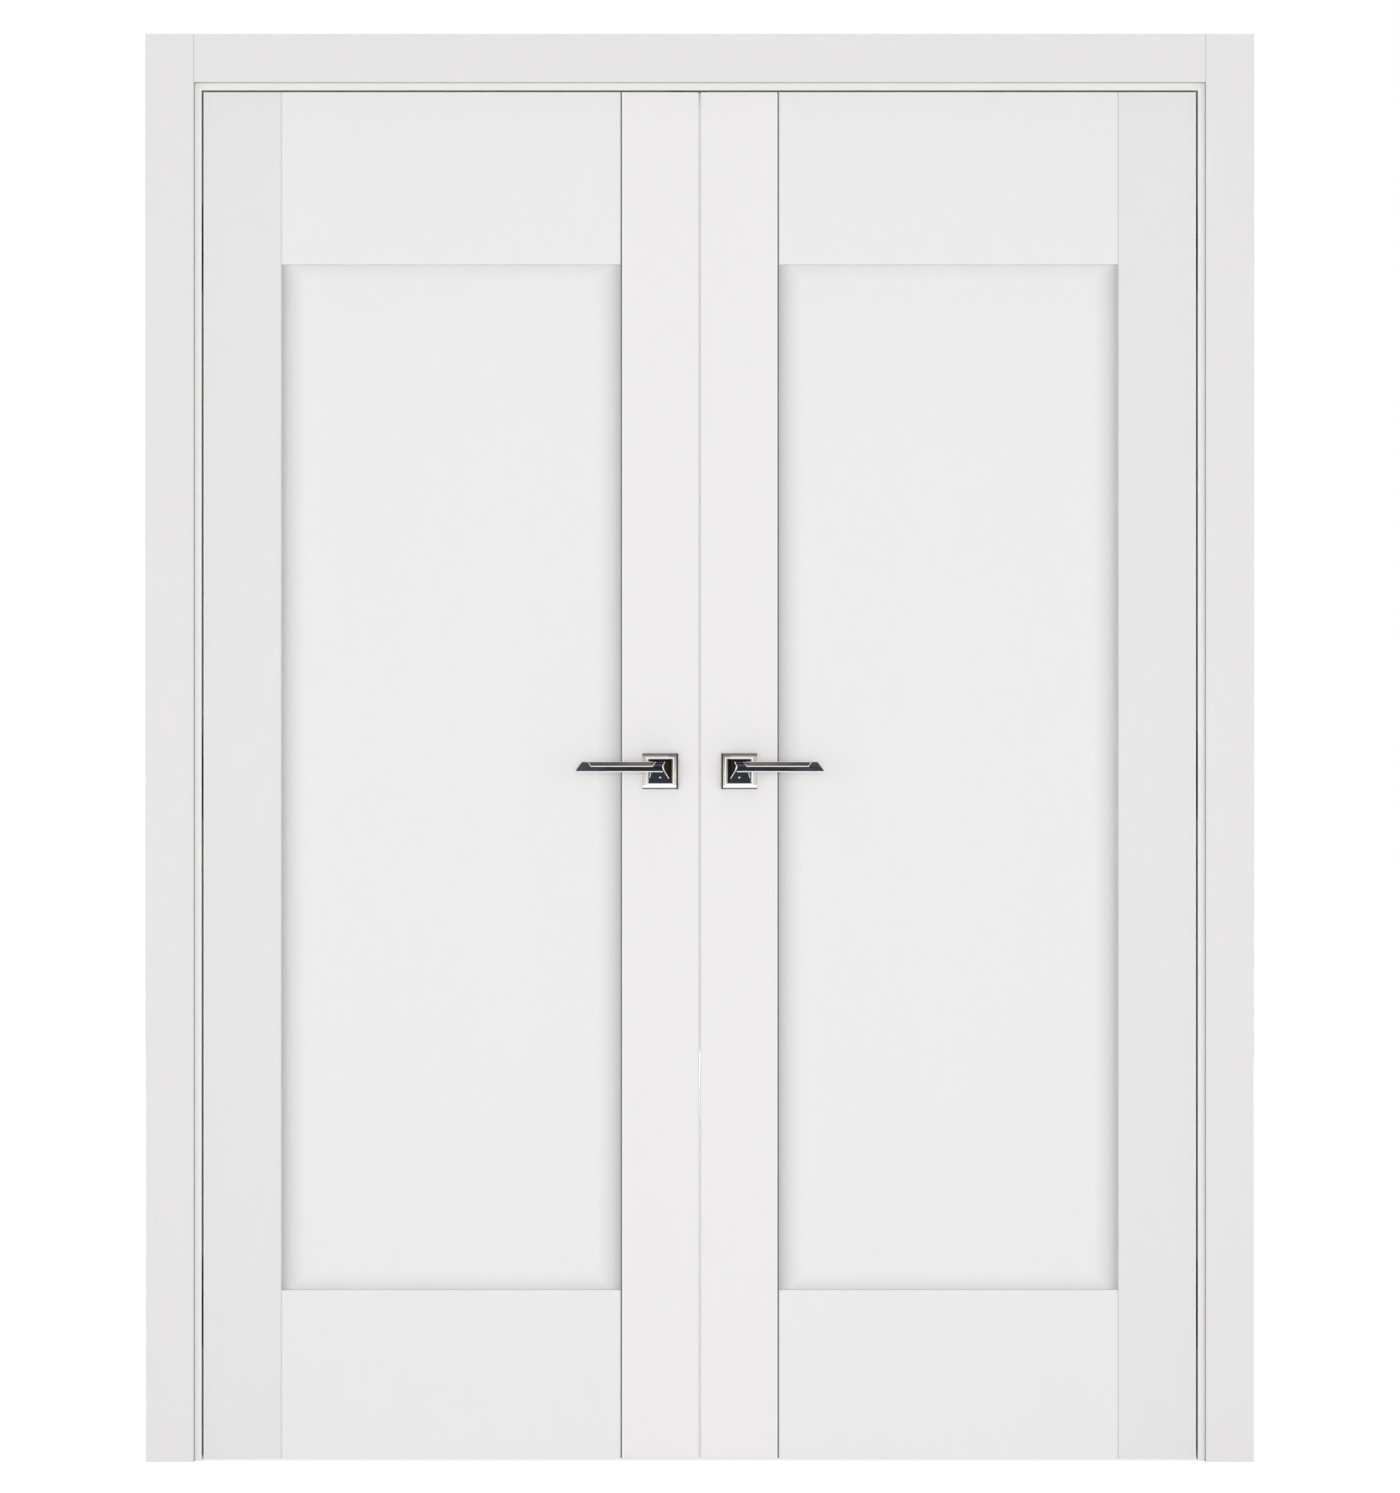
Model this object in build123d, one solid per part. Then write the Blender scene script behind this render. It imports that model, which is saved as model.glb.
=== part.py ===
from build123d import *
import os

# Prehung double door with its frame, without the wall. Millimetres.
# Seen from the front, +X is right, +Y goes into the wall and +Z is up.
# The finished part has its origin on the floor, in the middle of its width and depth. While a piece is
# drawn, Y is measured from the front face of the jamb, and everything is moved back at the end.
# Most pieces are drawn on the right half, at positive X, and mirrored for the left half.

# Leaves
LEAF_WIDTH = 736.6
LEAF_HEIGHT = 2032.0
LEAF_THICKNESS = 40.0
STILE_WIDTH = 116.0
TOP_RAIL_HEIGHT = 256.0
BOTTOM_RAIL_HEIGHT = 250.0
EDGE_BEVEL = 0.8
JOINT_BEVEL = 1.2

# Panel, held in a groove all round
PANEL_THICKNESS = 16.0
PANEL_LAP = 12.0
GROOVE_ROOM = 2.0
GROOVE_PLAY = 0.1

# Dowels between rails and stiles
DOWEL_DIAMETER = 10.0
DOWEL_LENGTH = 80.0
DOWELS_PER_JOINT = 3
DOWEL_PLAY = 0.1
DOWEL_END_ROOM = 1.0
DOWEL_BEVEL = 1.0

# Gaps round the leaves
SIDE_GAP = 3.0
TOP_GAP = 3.0
MEETING_GAP = 3.2
FLOOR_GAP = 4.0

# Jamb
JAMB_THICKNESS = 44.0
JAMB_DEPTH = 116.0
STOP_PROJECTION = 12.0
STOP_SEAT = 3.0
KERF_WIDTH = 3.0
KERF_DEPTH = 7.0
KERF_INSET = 5.0

# Gasket in the kerf of the stop
GASKET_LEAF_CLEARANCE = 0.3
GASKET_HEAD_WIDTH = 9.0
GASKET_HEAD_INSET = 2.0
GASKET_ROUNDING = 1.2
GASKET_FIN_PLAY = 0.1
GASKET_FIN_ROOM = 0.5
GASKET_FLOOR_GAP = 2.0

# Casing boards with a tongue that plugs into a groove of the jamb
CASING_WIDTH = 72.0
CASING_THICKNESS = 10.0
CASING_REVEAL = 10.0
CASING_ROUNDING = 1.5
TONGUE_OFFSET = 33.0
TONGUE_GROOVE_WIDTH = 6.0
TONGUE_GROOVE_DEPTH = 18.0
TONGUE_LENGTH = 16.0
TONGUE_PLAY = 0.2
RELIEF_WIDTH = 8.0
RELIEF_DEPTH = 1.5

# Screws
WOOD_SCREW_DIAMETER = 4.0
WOOD_SCREW_HEAD = 8.0
WOOD_SCREW_HEAD_DEPTH = 2.2
WOOD_SCREW_TIP = 4.0
SCREW_PLAY = 0.1
HINGE_SCREW_LENGTH = 30.0
PLATE_SCREW_LENGTH = 22.0
FLUSH_SCREW_LENGTH = 12.0
CORNER_SCREW_LENGTH = 70.0
CORNER_SCREW_INSET = 28.0

# Concealed hinges: cups let into the jamb and the leaf, joined by crossing arms
HINGES_PER_LEAF = 3
HINGE_INSET = 230.0
HINGE_SETBACK = 20.0
CUP_WIDTH = 30.0
CUP_BODY_HEIGHT = 100.0
CUP_FLANGE_HEIGHT = 136.0
CUP_FLANGE_THICKNESS = 3.0
CUP_DEPTH = 31.5
CUP_WALL = 1.5
CUP_SEAT_PLAY = 0.1
ARM_THICKNESS = 5.6
ARM_PIN_OFFSET = 11.7
ARM_PIN_SETBACK = 12.4
ARM_TIP_OFFSET = 26.9
ARM_TIP_SETBACK = 11.1
ARM_BULGE = 17.2
ARM_BOSS_DIAMETER = 9.0
ARM_POCKET_PLAY = 0.5
MIDDLE_ARM_HEIGHT = 16.0
OUTER_ARM_HEIGHT = 12.0
CUP_WEB = 3.0
PIN_DIAMETER = 4.0
PIN_SEAT = 2.8
PIN_HOLE_PLAY = 0.2

# Lever sets, one on each leaf
LEVER_HEIGHT = 1026.0
BACKSET = 57.0
ROSE_SIZE = 53.0
ROSE_THICKNESS = 8.0
ROSE_BEVEL = 1.6
ROSE_WALL = 3.0
ROSE_PAD_SIZE = 38.5
ROSE_PAD_HEIGHT = 1.2
ROSE_COLLAR_DIAMETER = 25.0
ROSE_POST_DIAMETER = 7.6
ROSE_POST_REACH = 8.0
STUD_SPACING = 38.0
STUD_DIAMETER = 4.0
STUD_PLAY = 0.1
HUB_DIAMETER = 17.0
HUB_PLAY = 0.3
NECK_GAP = 0.4
NECK_BASE_WIDTH = 35.0
NECK_BASE_HEIGHT = 36.0
NECK_FRONT_LEFT = -5.5
NECK_FRONT_RIGHT = 13.0
NECK_FRONT_BOTTOM = 1.6
NECK_FRONT_TOP = 12.4
NECK_FRONT_SETBACK = 46.0
BAR_REACH = 125.4
BAR_TOP = 14.0
BAR_RIDGE = 7.6
BAR_BOTTOM = 0.6
BAR_CHAMFER = 1.0
BAR_BACK_SETBACK = 40.0
BAR_TOP_SETBACK = 42.0
BAR_RIDGE_SETBACK = 51.0
BAR_BOTTOM_SETBACK = 46.5
BAR_TIP_SLANT = (1.0, -0.2, 0.75)
SPINDLE_SIZE = 8.0
SPINDLE_PLAY = 0.1
SPINDLE_HALF_LENGTH = 52.0
GRUB_DIAMETER = 4.0
GRUB_SETBACK = 26.0
GRUB_LENGTH = 6.0
GRUB_SOCKET = 2.0
GRUB_SOCKET_DEPTH = 2.5
LEAF_SPINDLE_HOLE = 22.0
STUD_HOLE = 9.0

# Mortise latch in the right leaf
FOREND_WIDTH = 20.0
FOREND_HEIGHT = 200.0
FOREND_THICKNESS = 3.0
CASE_THICKNESS = 14.0
CASE_DEPTH = 82.0
CASE_BELOW = 55.0
CASE_ABOVE = 75.0
CASE_WALL = 1.5
CASE_PLAY = 0.2
BOLT_RISE = 32.0
BOLT_THICKNESS = 8.0
BOLT_HEIGHT = 26.0
BOLT_LENGTH = 36.0
BOLT_PLAY = 0.4
BOLT_ROUNDING = 2.0
FOLLOWER_DIAMETER = 21.0
FOLLOWER_TRUNNION = 15.0
FOLLOWER_PLAY = 0.3
FOLLOWER_ARM_REACH = 24.0
FOLLOWER_ARM_WIDTH = 6.0
PLATE_SCREW_INSET = 10.0

# Strike in the left leaf
STRIKE_HEIGHT = 110.0
STRIKE_THICKNESS = 2.5
STRIKE_MOUTH_ROOM = 4.0
STRIKE_BOX_DEPTH = 18.0
STRIKE_BOX_WALL = 1.5
MAGNET_THICKNESS = 4.0
MAGNET_PLAY = 0.1

# Flush bolts in the meeting edge of the left leaf
FLUSH_PLATE_HEIGHT = 170.0
FLUSH_PLATE_THICKNESS = 2.5
FLUSH_PLATE_INSET = 12.0
FLUSH_CHANNEL_WIDTH = 16.0
FLUSH_CHANNEL_DEPTH = 25.0
FLUSH_CHANNEL_HEIGHT = 120.0
FLUSH_CHANNEL_WALL = 1.5
FLUSH_ROD_DIAMETER = 8.0
FLUSH_ROD_PLAY = 0.4
FLUSH_ROD_SETBACK = 18.0
FLUSH_ROD_TAIL = 50.0
FLUSH_ROD_END_ROOM = 0.5
FLUSH_THROW = 14.0
FLUSH_THUMB_WIDTH = 6.0
FLUSH_THUMB_HEIGHT = 18.0
FLUSH_THUMB_DROP = 8.0
FLUSH_THUMB_RECESS = 0.5
FLUSH_SLOT_ROOM = 1.0
HEAD_STRIKE_LENGTH = 64.0
HEAD_STRIKE_WIDTH = 22.0
HEAD_STRIKE_THICKNESS = 2.0
HEAD_STRIKE_HOLE = 10.0
HEAD_STRIKE_DEPTH = 16.0

# Places worked out from the sizes above
MEET_X = MEETING_GAP / 2
SPINDLE_X = MEET_X + BACKSET
OUTER_X = MEET_X + LEAF_WIDTH
HINGE_X = OUTER_X + SIDE_GAP / 2
REBATE_X = OUTER_X + SIDE_GAP
LEAF_TOP = FLOOR_GAP + LEAF_HEIGHT
LEAF_MIDDLE = FLOOR_GAP + LEAF_HEIGHT / 2
REBATE_Z = LEAF_TOP + TOP_GAP
LEAF_CENTRE_Y = LEAF_THICKNESS / 2
STOP_Y = LEAF_THICKNESS + STOP_SEAT
BOLT_Z = LEVER_HEIGHT + BOLT_RISE
FOREND_Z = LEVER_HEIGHT + (CASE_ABOVE - CASE_BELOW) / 2
ROD_X = MEET_X + FLUSH_ROD_SETBACK
FLUSH_PLATE_Z = LEAF_TOP - FLUSH_PLATE_INSET - FLUSH_PLATE_HEIGHT / 2
LEVER_PROJECTION = BAR_RIDGE_SETBACK
CENTRE_Y = (JAMB_DEPTH + CASING_THICKNESS - LEVER_PROJECTION) / 2
SIDES = ("left", "right")


def rectangle(x0, x1, y0, y1):
    """A flat rectangle between two corners."""
    return Pos((x0 + x1) / 2, (y0 + y1) / 2) * Rectangle(x1 - x0, y1 - y0)


def block(x0, x1, y0, y1, z0, z1):
    """A box between two corners."""
    return extrude(Pos(0, 0, z0) * rectangle(x0, x1, y0, y1), z1 - z0)


def rod_along(axis, centre, diameter, length):
    """A round rod centred on a point, along X, Y or Z."""
    turn = {"x": Rot(0, 90, 0), "y": Rot(90, 0, 0), "z": Rot(0, 0, 0)}[axis]
    return Pos(*centre) * turn * Cylinder(diameter / 2, length)


def group(pieces):
    """Separate solids that make one node."""
    return Compound([solid for piece in pieces for solid in piece.solids()])


def sided(piece, side):
    """A piece drawn on the right half, as it is or mirrored to the left half."""
    return mirror(piece, about=Plane.YZ) if side == "left" else piece


def hinge_heights():
    """Heights of the hinge centres: equal insets at the ends, equal steps between."""
    lowest = FLOOR_GAP + HINGE_INSET
    highest = LEAF_TOP - HINGE_INSET
    step = (highest - lowest) / (HINGES_PER_LEAF - 1)
    return [lowest + step * i for i in range(HINGES_PER_LEAF)]


def screw(length, play=0.0):
    """Countersunk wood screw along +X with its head face at X = 0, grown by play for its hole."""
    head = WOOD_SCREW_HEAD / 2 + play
    shank = WOOD_SCREW_DIAMETER / 2 + play
    outline = Polyline((0, 0), (0, head), (WOOD_SCREW_HEAD_DEPTH, shank),
                       (length - WOOD_SCREW_TIP, shank), (length + play, 0), close=True)
    return revolve(make_face(outline), Axis.X)


def stadium(height, width, depth, middle_y=LEAF_CENTRE_Y):
    """Plate with round ends, upright in the YZ plane, its middle at one depth in the leaf, going to +X."""
    return extrude(Plane.YZ * Pos(middle_y, 0) * SlotOverall(height, width, rotation=90), depth)


# Frame

def mitre_plane():
    """The 45 degree plane through the corner of the rebate; its positive side is the post's."""
    return Plane(origin=(REBATE_X, 0, REBATE_Z), z_dir=(1, 0, -1))


def post(profile):
    """Upright of the frame from a profile of distance outward and depth, mitred at the head."""
    upright = extrude(Pos(REBATE_X, 0) * profile, REBATE_Z + JAMB_THICKNESS)
    return split(upright, bisect_by=mitre_plane(), keep=Keep.TOP)


def header(profile):
    """Head of the frame from the same profile, mitred at both ends."""
    reach = REBATE_X + JAMB_THICKNESS
    start = Plane(origin=(reach, 0, REBATE_Z), x_dir=(0, 0, 1), z_dir=(-1, 0, 0))
    beam = extrude(start * profile, 2 * reach)
    beam = split(beam, bisect_by=mitre_plane(), keep=Keep.BOTTOM)
    left_mitre = Plane(origin=(-REBATE_X, 0, REBATE_Z), z_dir=(-1, 0, -1))
    return split(beam, bisect_by=left_mitre, keep=Keep.BOTTOM)


def jamb_profile():
    """Rebated jamb with a kerf for the gasket and a groove in each face for the casing tongue."""
    outline = Polyline((0, 0), (JAMB_THICKNESS, 0), (JAMB_THICKNESS, JAMB_DEPTH),
                       (-STOP_PROJECTION, JAMB_DEPTH), (-STOP_PROJECTION, STOP_Y), (0, STOP_Y), close=True)
    kerf = rectangle(-KERF_INSET - KERF_WIDTH, -KERF_INSET, STOP_Y, STOP_Y + KERF_DEPTH)
    front = rectangle(TONGUE_OFFSET, TONGUE_OFFSET + TONGUE_GROOVE_WIDTH, 0, TONGUE_GROOVE_DEPTH)
    back = mirror(front, about=Plane.XZ)
    return make_face(outline) - kerf - front - Pos(-STOP_PROJECTION, JAMB_DEPTH) * back


def gasket_profile():
    """Soft strip: a rounded head in front of the stop and a fin in the kerf."""
    head = rectangle(-GASKET_HEAD_INSET - GASKET_HEAD_WIDTH, -GASKET_HEAD_INSET,
                     LEAF_THICKNESS + GASKET_LEAF_CLEARANCE, STOP_Y)
    head = fillet(head.vertices().group_by(Axis.Y)[0], GASKET_ROUNDING)
    fin = rectangle(-KERF_INSET - KERF_WIDTH + GASKET_FIN_PLAY, -KERF_INSET - GASKET_FIN_PLAY,
                    STOP_Y, STOP_Y + KERF_DEPTH - GASKET_FIN_ROOM)
    return head + fin


def stop_gasket():
    """One strip round the stop: up one post, across the head and down the other."""
    upright = split(post(gasket_profile()), bisect_by=Plane.XY.offset(GASKET_FLOOR_GAP), keep=Keep.TOP)
    return upright + header(gasket_profile()) + sided(upright, "left")


def head_jamb():
    """Head jamb with the hole and seat for the top flush bolt's strike and the corner screw holes."""
    hole = rod_along("z", (-ROD_X, LEAF_CENTRE_Y, REBATE_Z), HEAD_STRIKE_HOLE, 2 * HEAD_STRIKE_DEPTH)
    holes = group(corner_screws(SCREW_PLAY) + head_strike_screws(SCREW_PLAY))
    return header(jamb_profile()) - head_strike_plate(CUP_SEAT_PLAY) - hole - holes


def side_jamb(side):
    """Side jamb with the mortises of its hinges and the corner screw holes."""
    mortises = group([hinge_mortise(z) for z in hinge_heights()])
    holes = group(corner_screws(SCREW_PLAY) + jamb_hinge_screws("right", SCREW_PLAY))
    return sided(post(jamb_profile()) - mortises - holes, side)


def face_offset(face):
    """How far the casing of a face stands inward of the rebate."""
    return 0 if face == "front" else -STOP_PROJECTION


def casing_board(face):
    """Board of the casing in distance outward and depth: two rounded front edges, and a relief in its back
    over the joint between the jamb and the wall."""
    board = rectangle(CASING_REVEAL, CASING_REVEAL + CASING_WIDTH, -CASING_THICKNESS, 0)
    joint = JAMB_THICKNESS - face_offset(face)
    board = fillet(board.vertices().group_by(Axis.Y)[0], CASING_ROUNDING)
    return board - rectangle(joint, joint + RELIEF_WIDTH, -RELIEF_DEPTH, 0)


def casing_tongue():
    """Tongue of the casing, in the groove of the jamb."""
    return rectangle(TONGUE_OFFSET + TONGUE_PLAY, TONGUE_OFFSET + TONGUE_GROOVE_WIDTH - TONGUE_PLAY,
                     -CASING_THICKNESS / 2, TONGUE_LENGTH)


def faced(profile, face):
    """A casing profile on the front of the jamb, or turned over on its back, where the stop is."""
    return profile if face == "front" else Pos(-STOP_PROJECTION, JAMB_DEPTH) * mirror(profile, about=Plane.XZ)


def side_casing(side, face):
    """Side casing, full height, its tongue as long as the post's rebate."""
    top = REBATE_Z + face_offset(face) + CASING_REVEAL + CASING_WIDTH
    board = extrude(Pos(REBATE_X, 0) * faced(casing_board(face), face), top)
    tongue = extrude(Pos(REBATE_X, 0) * faced(casing_tongue(), face), REBATE_Z)
    return sided(board + tongue, side)


def head_casing(face):
    """Head casing, between the side casings."""
    def run(profile, reach):
        start = Plane(origin=(reach, 0, REBATE_Z), x_dir=(0, 0, 1), z_dir=(-1, 0, 0))
        return extrude(start * faced(profile, face), 2 * reach)

    reach = REBATE_X + face_offset(face)
    return run(casing_board(face), reach + CASING_REVEAL) + run(casing_tongue(), reach)


def corner_screws(play=0.0):
    """Two screws through each side jamb into the end of the head jamb, as seen from outside."""
    reach = REBATE_X + JAMB_THICKNESS
    height = REBATE_Z + JAMB_THICKNESS / 2
    places = [(reach, y, height) for y in (CORNER_SCREW_INSET, JAMB_DEPTH - CORNER_SCREW_INSET)]
    right = [Pos(*place) * Rot(0, 0, 180) * screw(CORNER_SCREW_LENGTH, play) for place in places]
    return right + [sided(piece, "left") for piece in right]


def head_strike_plate(play=0.0):
    """Plate of the top flush bolt's strike in the rebate of the head, grown by play for its seat."""
    outline = Pos(-ROD_X, LEAF_CENTRE_Y, REBATE_Z) * SlotOverall(HEAD_STRIKE_LENGTH + 2 * play,
                                                                HEAD_STRIKE_WIDTH + 2 * play)
    return extrude(outline, HEAD_STRIKE_THICKNESS + play)


def head_strike_screws(play=0.0):
    """Two screws of the head strike, upward into the head jamb."""
    reach = HEAD_STRIKE_LENGTH / 2 - PLATE_SCREW_INSET
    return [Pos(-ROD_X + x, LEAF_CENTRE_Y, REBATE_Z) * Rot(0, -90, 0) * screw(PLATE_SCREW_LENGTH, play)
            for x in (-reach, reach)]


def head_bolt_strike():
    """Strike plate with the hole that takes the top flush bolt."""
    hole = rod_along("z", (-ROD_X, LEAF_CENTRE_Y, REBATE_Z), HEAD_STRIKE_HOLE, 2 * HEAD_STRIKE_DEPTH)
    return head_strike_plate() - hole - group(head_strike_screws(SCREW_PLAY))


# Concealed hinges

def outer_arm_level():
    """Height of an outer arm's middle above the hinge's middle."""
    return MIDDLE_ARM_HEIGHT / 2 + 2 * ARM_POCKET_PLAY + CUP_WEB + OUTER_ARM_HEIGHT / 2


def arm_levels(carrier):
    """Middle height and thickness of the arms pinned in the jamb, or of those pinned in the leaf."""
    if carrier == "jamb":
        return [(0.0, MIDDLE_ARM_HEIGHT)]
    return [(outer_arm_level(), OUTER_ARM_HEIGHT), (-outer_arm_level(), OUTER_ARM_HEIGHT)]


def cup_blank(play=0.0):
    """Body and flange of a hinge cup behind the plane X = 0, or their milled seat, grown by play."""
    body = stadium(CUP_BODY_HEIGHT + 2 * play, CUP_WIDTH + 2 * play, CUP_DEPTH + play, HINGE_SETBACK)
    flange = stadium(CUP_FLANGE_HEIGHT + 2 * play, CUP_WIDTH + 2 * play, CUP_FLANGE_THICKNESS + play,
                     HINGE_SETBACK)
    return body + flange


def hinge_mortise(height):
    """Milled seat of a cup in the edge of the right jamb."""
    return Pos(REBATE_X, 0, height) * cup_blank(CUP_SEAT_PLAY)


def pin_place():
    """Place of the pin behind the face of the cup."""
    return ARM_PIN_OFFSET - SIDE_GAP / 2, ARM_PIN_SETBACK


def arm_pins(carrier, play=0.0):
    """Pins of one cup, seated in the webs above and below each arm."""
    x, y = pin_place()
    return [rod_along("z", (x, y, level), PIN_DIAMETER + 2 * play, height + 2 * ARM_POCKET_PLAY + 2 * PIN_SEAT)
            for level, height in arm_levels(carrier)]


def cup_screws(play=0.0):
    """Screws through the two ends of a cup's flange."""
    reach = (CUP_FLANGE_HEIGHT + CUP_BODY_HEIGHT) / 4
    return [Pos(0, HINGE_SETBACK, z) * screw(HINGE_SCREW_LENGTH, play) for z in (-reach, reach)]


def hinge_cup(carrier):
    """Cup with its face at X = 0 and its body towards +X, one pocket for each arm, and its pins."""
    cup = cup_blank()
    reach = CUP_WIDTH / 2 - CUP_WALL
    for level, height in arm_levels("jamb") + arm_levels("leaf"):
        half = height / 2 + ARM_POCKET_PLAY
        cup -= block(0, CUP_DEPTH - CUP_WALL, HINGE_SETBACK - reach, HINGE_SETBACK + reach,
                     level - half, level + half)
    cup -= group(arm_pins(carrier) + cup_screws(SCREW_PLAY))
    return [cup] + arm_pins(carrier)


def jamb_hinge_cups(side):
    """The cups let into one side jamb."""
    cups = [Pos(REBATE_X, 0, z) * piece for z in hinge_heights() for piece in hinge_cup("jamb")]
    return sided(group(cups), side)


def jamb_hinge_screws(side, play=0.0):
    """Screws of the cups in one side jamb."""
    return [sided(Pos(REBATE_X, 0, z) * piece, side) for z in hinge_heights() for piece in cup_screws(play)]


def on_leaf_edge(piece):
    """A piece drawn at the jamb's face, mirrored across the gap to the leaf's hinge edge."""
    return mirror(piece, about=Plane.YZ.offset(HINGE_X))


def leaf_hinge_cups(side):
    """The cups let into one leaf."""
    cups = [on_leaf_edge(Pos(REBATE_X, 0, z) * piece) for z in hinge_heights() for piece in hinge_cup("leaf")]
    return sided(group(cups), side)


def leaf_hinge_screws(play=0.0):
    """Screws of the cups in the right leaf."""
    return [on_leaf_edge(piece) for piece in jamb_hinge_screws("right", play)]


def arm_outline():
    """Half-ring arm from its pin in the jamb, round behind the other pin, to its tip in the leaf's cup."""
    pin = Vector(ARM_PIN_OFFSET, ARM_PIN_SETBACK)
    tip = Vector(-ARM_TIP_OFFSET, ARM_TIP_SETBACK)
    across = (tip - pin).normalized()
    middle = (pin + tip) / 2 + Vector(across.Y, -across.X) * ARM_BULGE
    ring = trace(ThreePointArc(pin, middle, tip), ARM_THICKNESS)
    ends = Pos(*pin) * Circle(ARM_BOSS_DIAMETER / 2) + Pos(*tip) * Circle(ARM_THICKNESS / 2)
    return ring + ends - Pos(*pin) * Circle(PIN_DIAMETER / 2 + PIN_HOLE_PLAY)


def hinge_arms(side, carrier):
    """All the arms of one leaf's hinges that are pinned in the jamb, or in the leaf."""
    arms = []
    for z in hinge_heights():
        for level, height in arm_levels(carrier):
            arm = Pos(HINGE_X, 0, z + level - height / 2) * extrude(arm_outline(), height)
            arms.append(arm if carrier == "jamb" else on_leaf_edge(arm))
    return sided(group(arms), side)


# Wood of the leaves, drawn for the right leaf

def leaf_panel(play=0.0, room=0.0):
    """Flat panel, or the groove that takes it."""
    half = PANEL_THICKNESS / 2 + play
    lap = PANEL_LAP + room
    return block(MEET_X + STILE_WIDTH - lap, OUTER_X - STILE_WIDTH + lap,
                 LEAF_CENTRE_Y - half, LEAF_CENTRE_Y + half,
                 FLOOR_GAP + BOTTOM_RAIL_HEIGHT - lap, LEAF_TOP - TOP_RAIL_HEIGHT + lap)


def panel_groove():
    """Groove for the panel in stiles and rails."""
    return leaf_panel(GROOVE_PLAY, GROOVE_ROOM)


def dowels(play=0.0, room=0.0):
    """Dowels across the four joints of a leaf, grown by play and room for their holes."""
    rails = [(FLOOR_GAP, BOTTOM_RAIL_HEIGHT), (LEAF_TOP - TOP_RAIL_HEIGHT, TOP_RAIL_HEIGHT)]
    pieces = []
    for joint in (MEET_X + STILE_WIDTH, OUTER_X - STILE_WIDTH):
        for foot, height in rails:
            for i in range(DOWELS_PER_JOINT):
                z = foot + height * (i + 1) / (DOWELS_PER_JOINT + 1)
                peg = rod_along("x", (joint, LEAF_CENTRE_Y, z), DOWEL_DIAMETER + 2 * play, DOWEL_LENGTH + 2 * room)
                pieces.append(peg if play else chamfer(peg.edges().filter_by(GeomType.CIRCLE), DOWEL_BEVEL))
    return pieces


def dowel_holes():
    """Holes for the dowels."""
    return group(dowels(DOWEL_PLAY, DOWEL_END_ROOM))


def stile(x0, joint_at):
    """Stile blank from X = x0: a small bevel at the leaf's edge and a larger one at the rail joints."""
    section = rectangle(x0, x0 + STILE_WIDTH, 0, LEAF_THICKNESS)
    joint_first = joint_at == "left"
    bevels = (JOINT_BEVEL, EDGE_BEVEL) if joint_first else (EDGE_BEVEL, JOINT_BEVEL)
    for end, bevel in zip((0, -1), bevels):
        section = chamfer(section.vertices().group_by(Axis.X)[end], bevel)
    blank = extrude(Pos(0, 0, FLOOR_GAP) * section, LEAF_HEIGHT)
    return blank - panel_groove() - dowel_holes()


def hinge_stile(side):
    """Stile at the jamb, with the seats of its hinge cups."""
    seats = group([on_leaf_edge(hinge_mortise(z)) for z in hinge_heights()])
    return sided(stile(OUTER_X - STILE_WIDTH, "left") - seats - group(leaf_hinge_screws(SCREW_PLAY)), side)


def handle_bores():
    """Holes through the leaf for the spindle and the posts of the roses."""
    bores = [rod_along("y", (SPINDLE_X, LEAF_CENTRE_Y, LEVER_HEIGHT), LEAF_SPINDLE_HOLE, LEAF_THICKNESS)]
    bores += [rod_along("y", (x, LEAF_CENTRE_Y, LEVER_HEIGHT), STUD_HOLE, LEAF_THICKNESS) for x in stud_places()]
    return group(bores)


def meeting_stile(side):
    """Stile at the meeting edge, with the seats of the latch, or of the strike and the flush bolts."""
    blank = stile(MEET_X, "right") - handle_bores() - group(edge_screws(side, SCREW_PLAY))
    seats = latch_seat() if side == "right" else strike_seat() + flush_bolt_seats()
    for seat in seats:
        blank -= seat
    return sided(blank, side)


def rail(foot, height, side):
    """Rail between the stiles, its ends bevelled where they meet the stiles."""
    section = rectangle(MEET_X + STILE_WIDTH, OUTER_X - STILE_WIDTH, 0, LEAF_THICKNESS)
    section = chamfer(section.vertices(), JOINT_BEVEL)
    return sided(extrude(Pos(0, 0, foot) * section, height) - panel_groove() - dowel_holes(), side)


# Lever sets, drawn for the right leaf's front face and its lever pointing to +X

def at_spindle(piece):
    """A front piece drawn round the origin, moved to the spindle's axis on the right leaf."""
    return Pos(SPINDLE_X, 0, LEVER_HEIGHT) * piece


def on_face(piece, face):
    """A front piece as it is, or mirrored to the back face of the leaf."""
    return piece if face == "front" else mirror(piece, about=Plane.XZ.offset(-LEAF_CENTRE_Y))


def stud_places():
    """The two posts of a rose, beside the spindle."""
    return [SPINDLE_X - STUD_SPACING / 2, SPINDLE_X + STUD_SPACING / 2]


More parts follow.
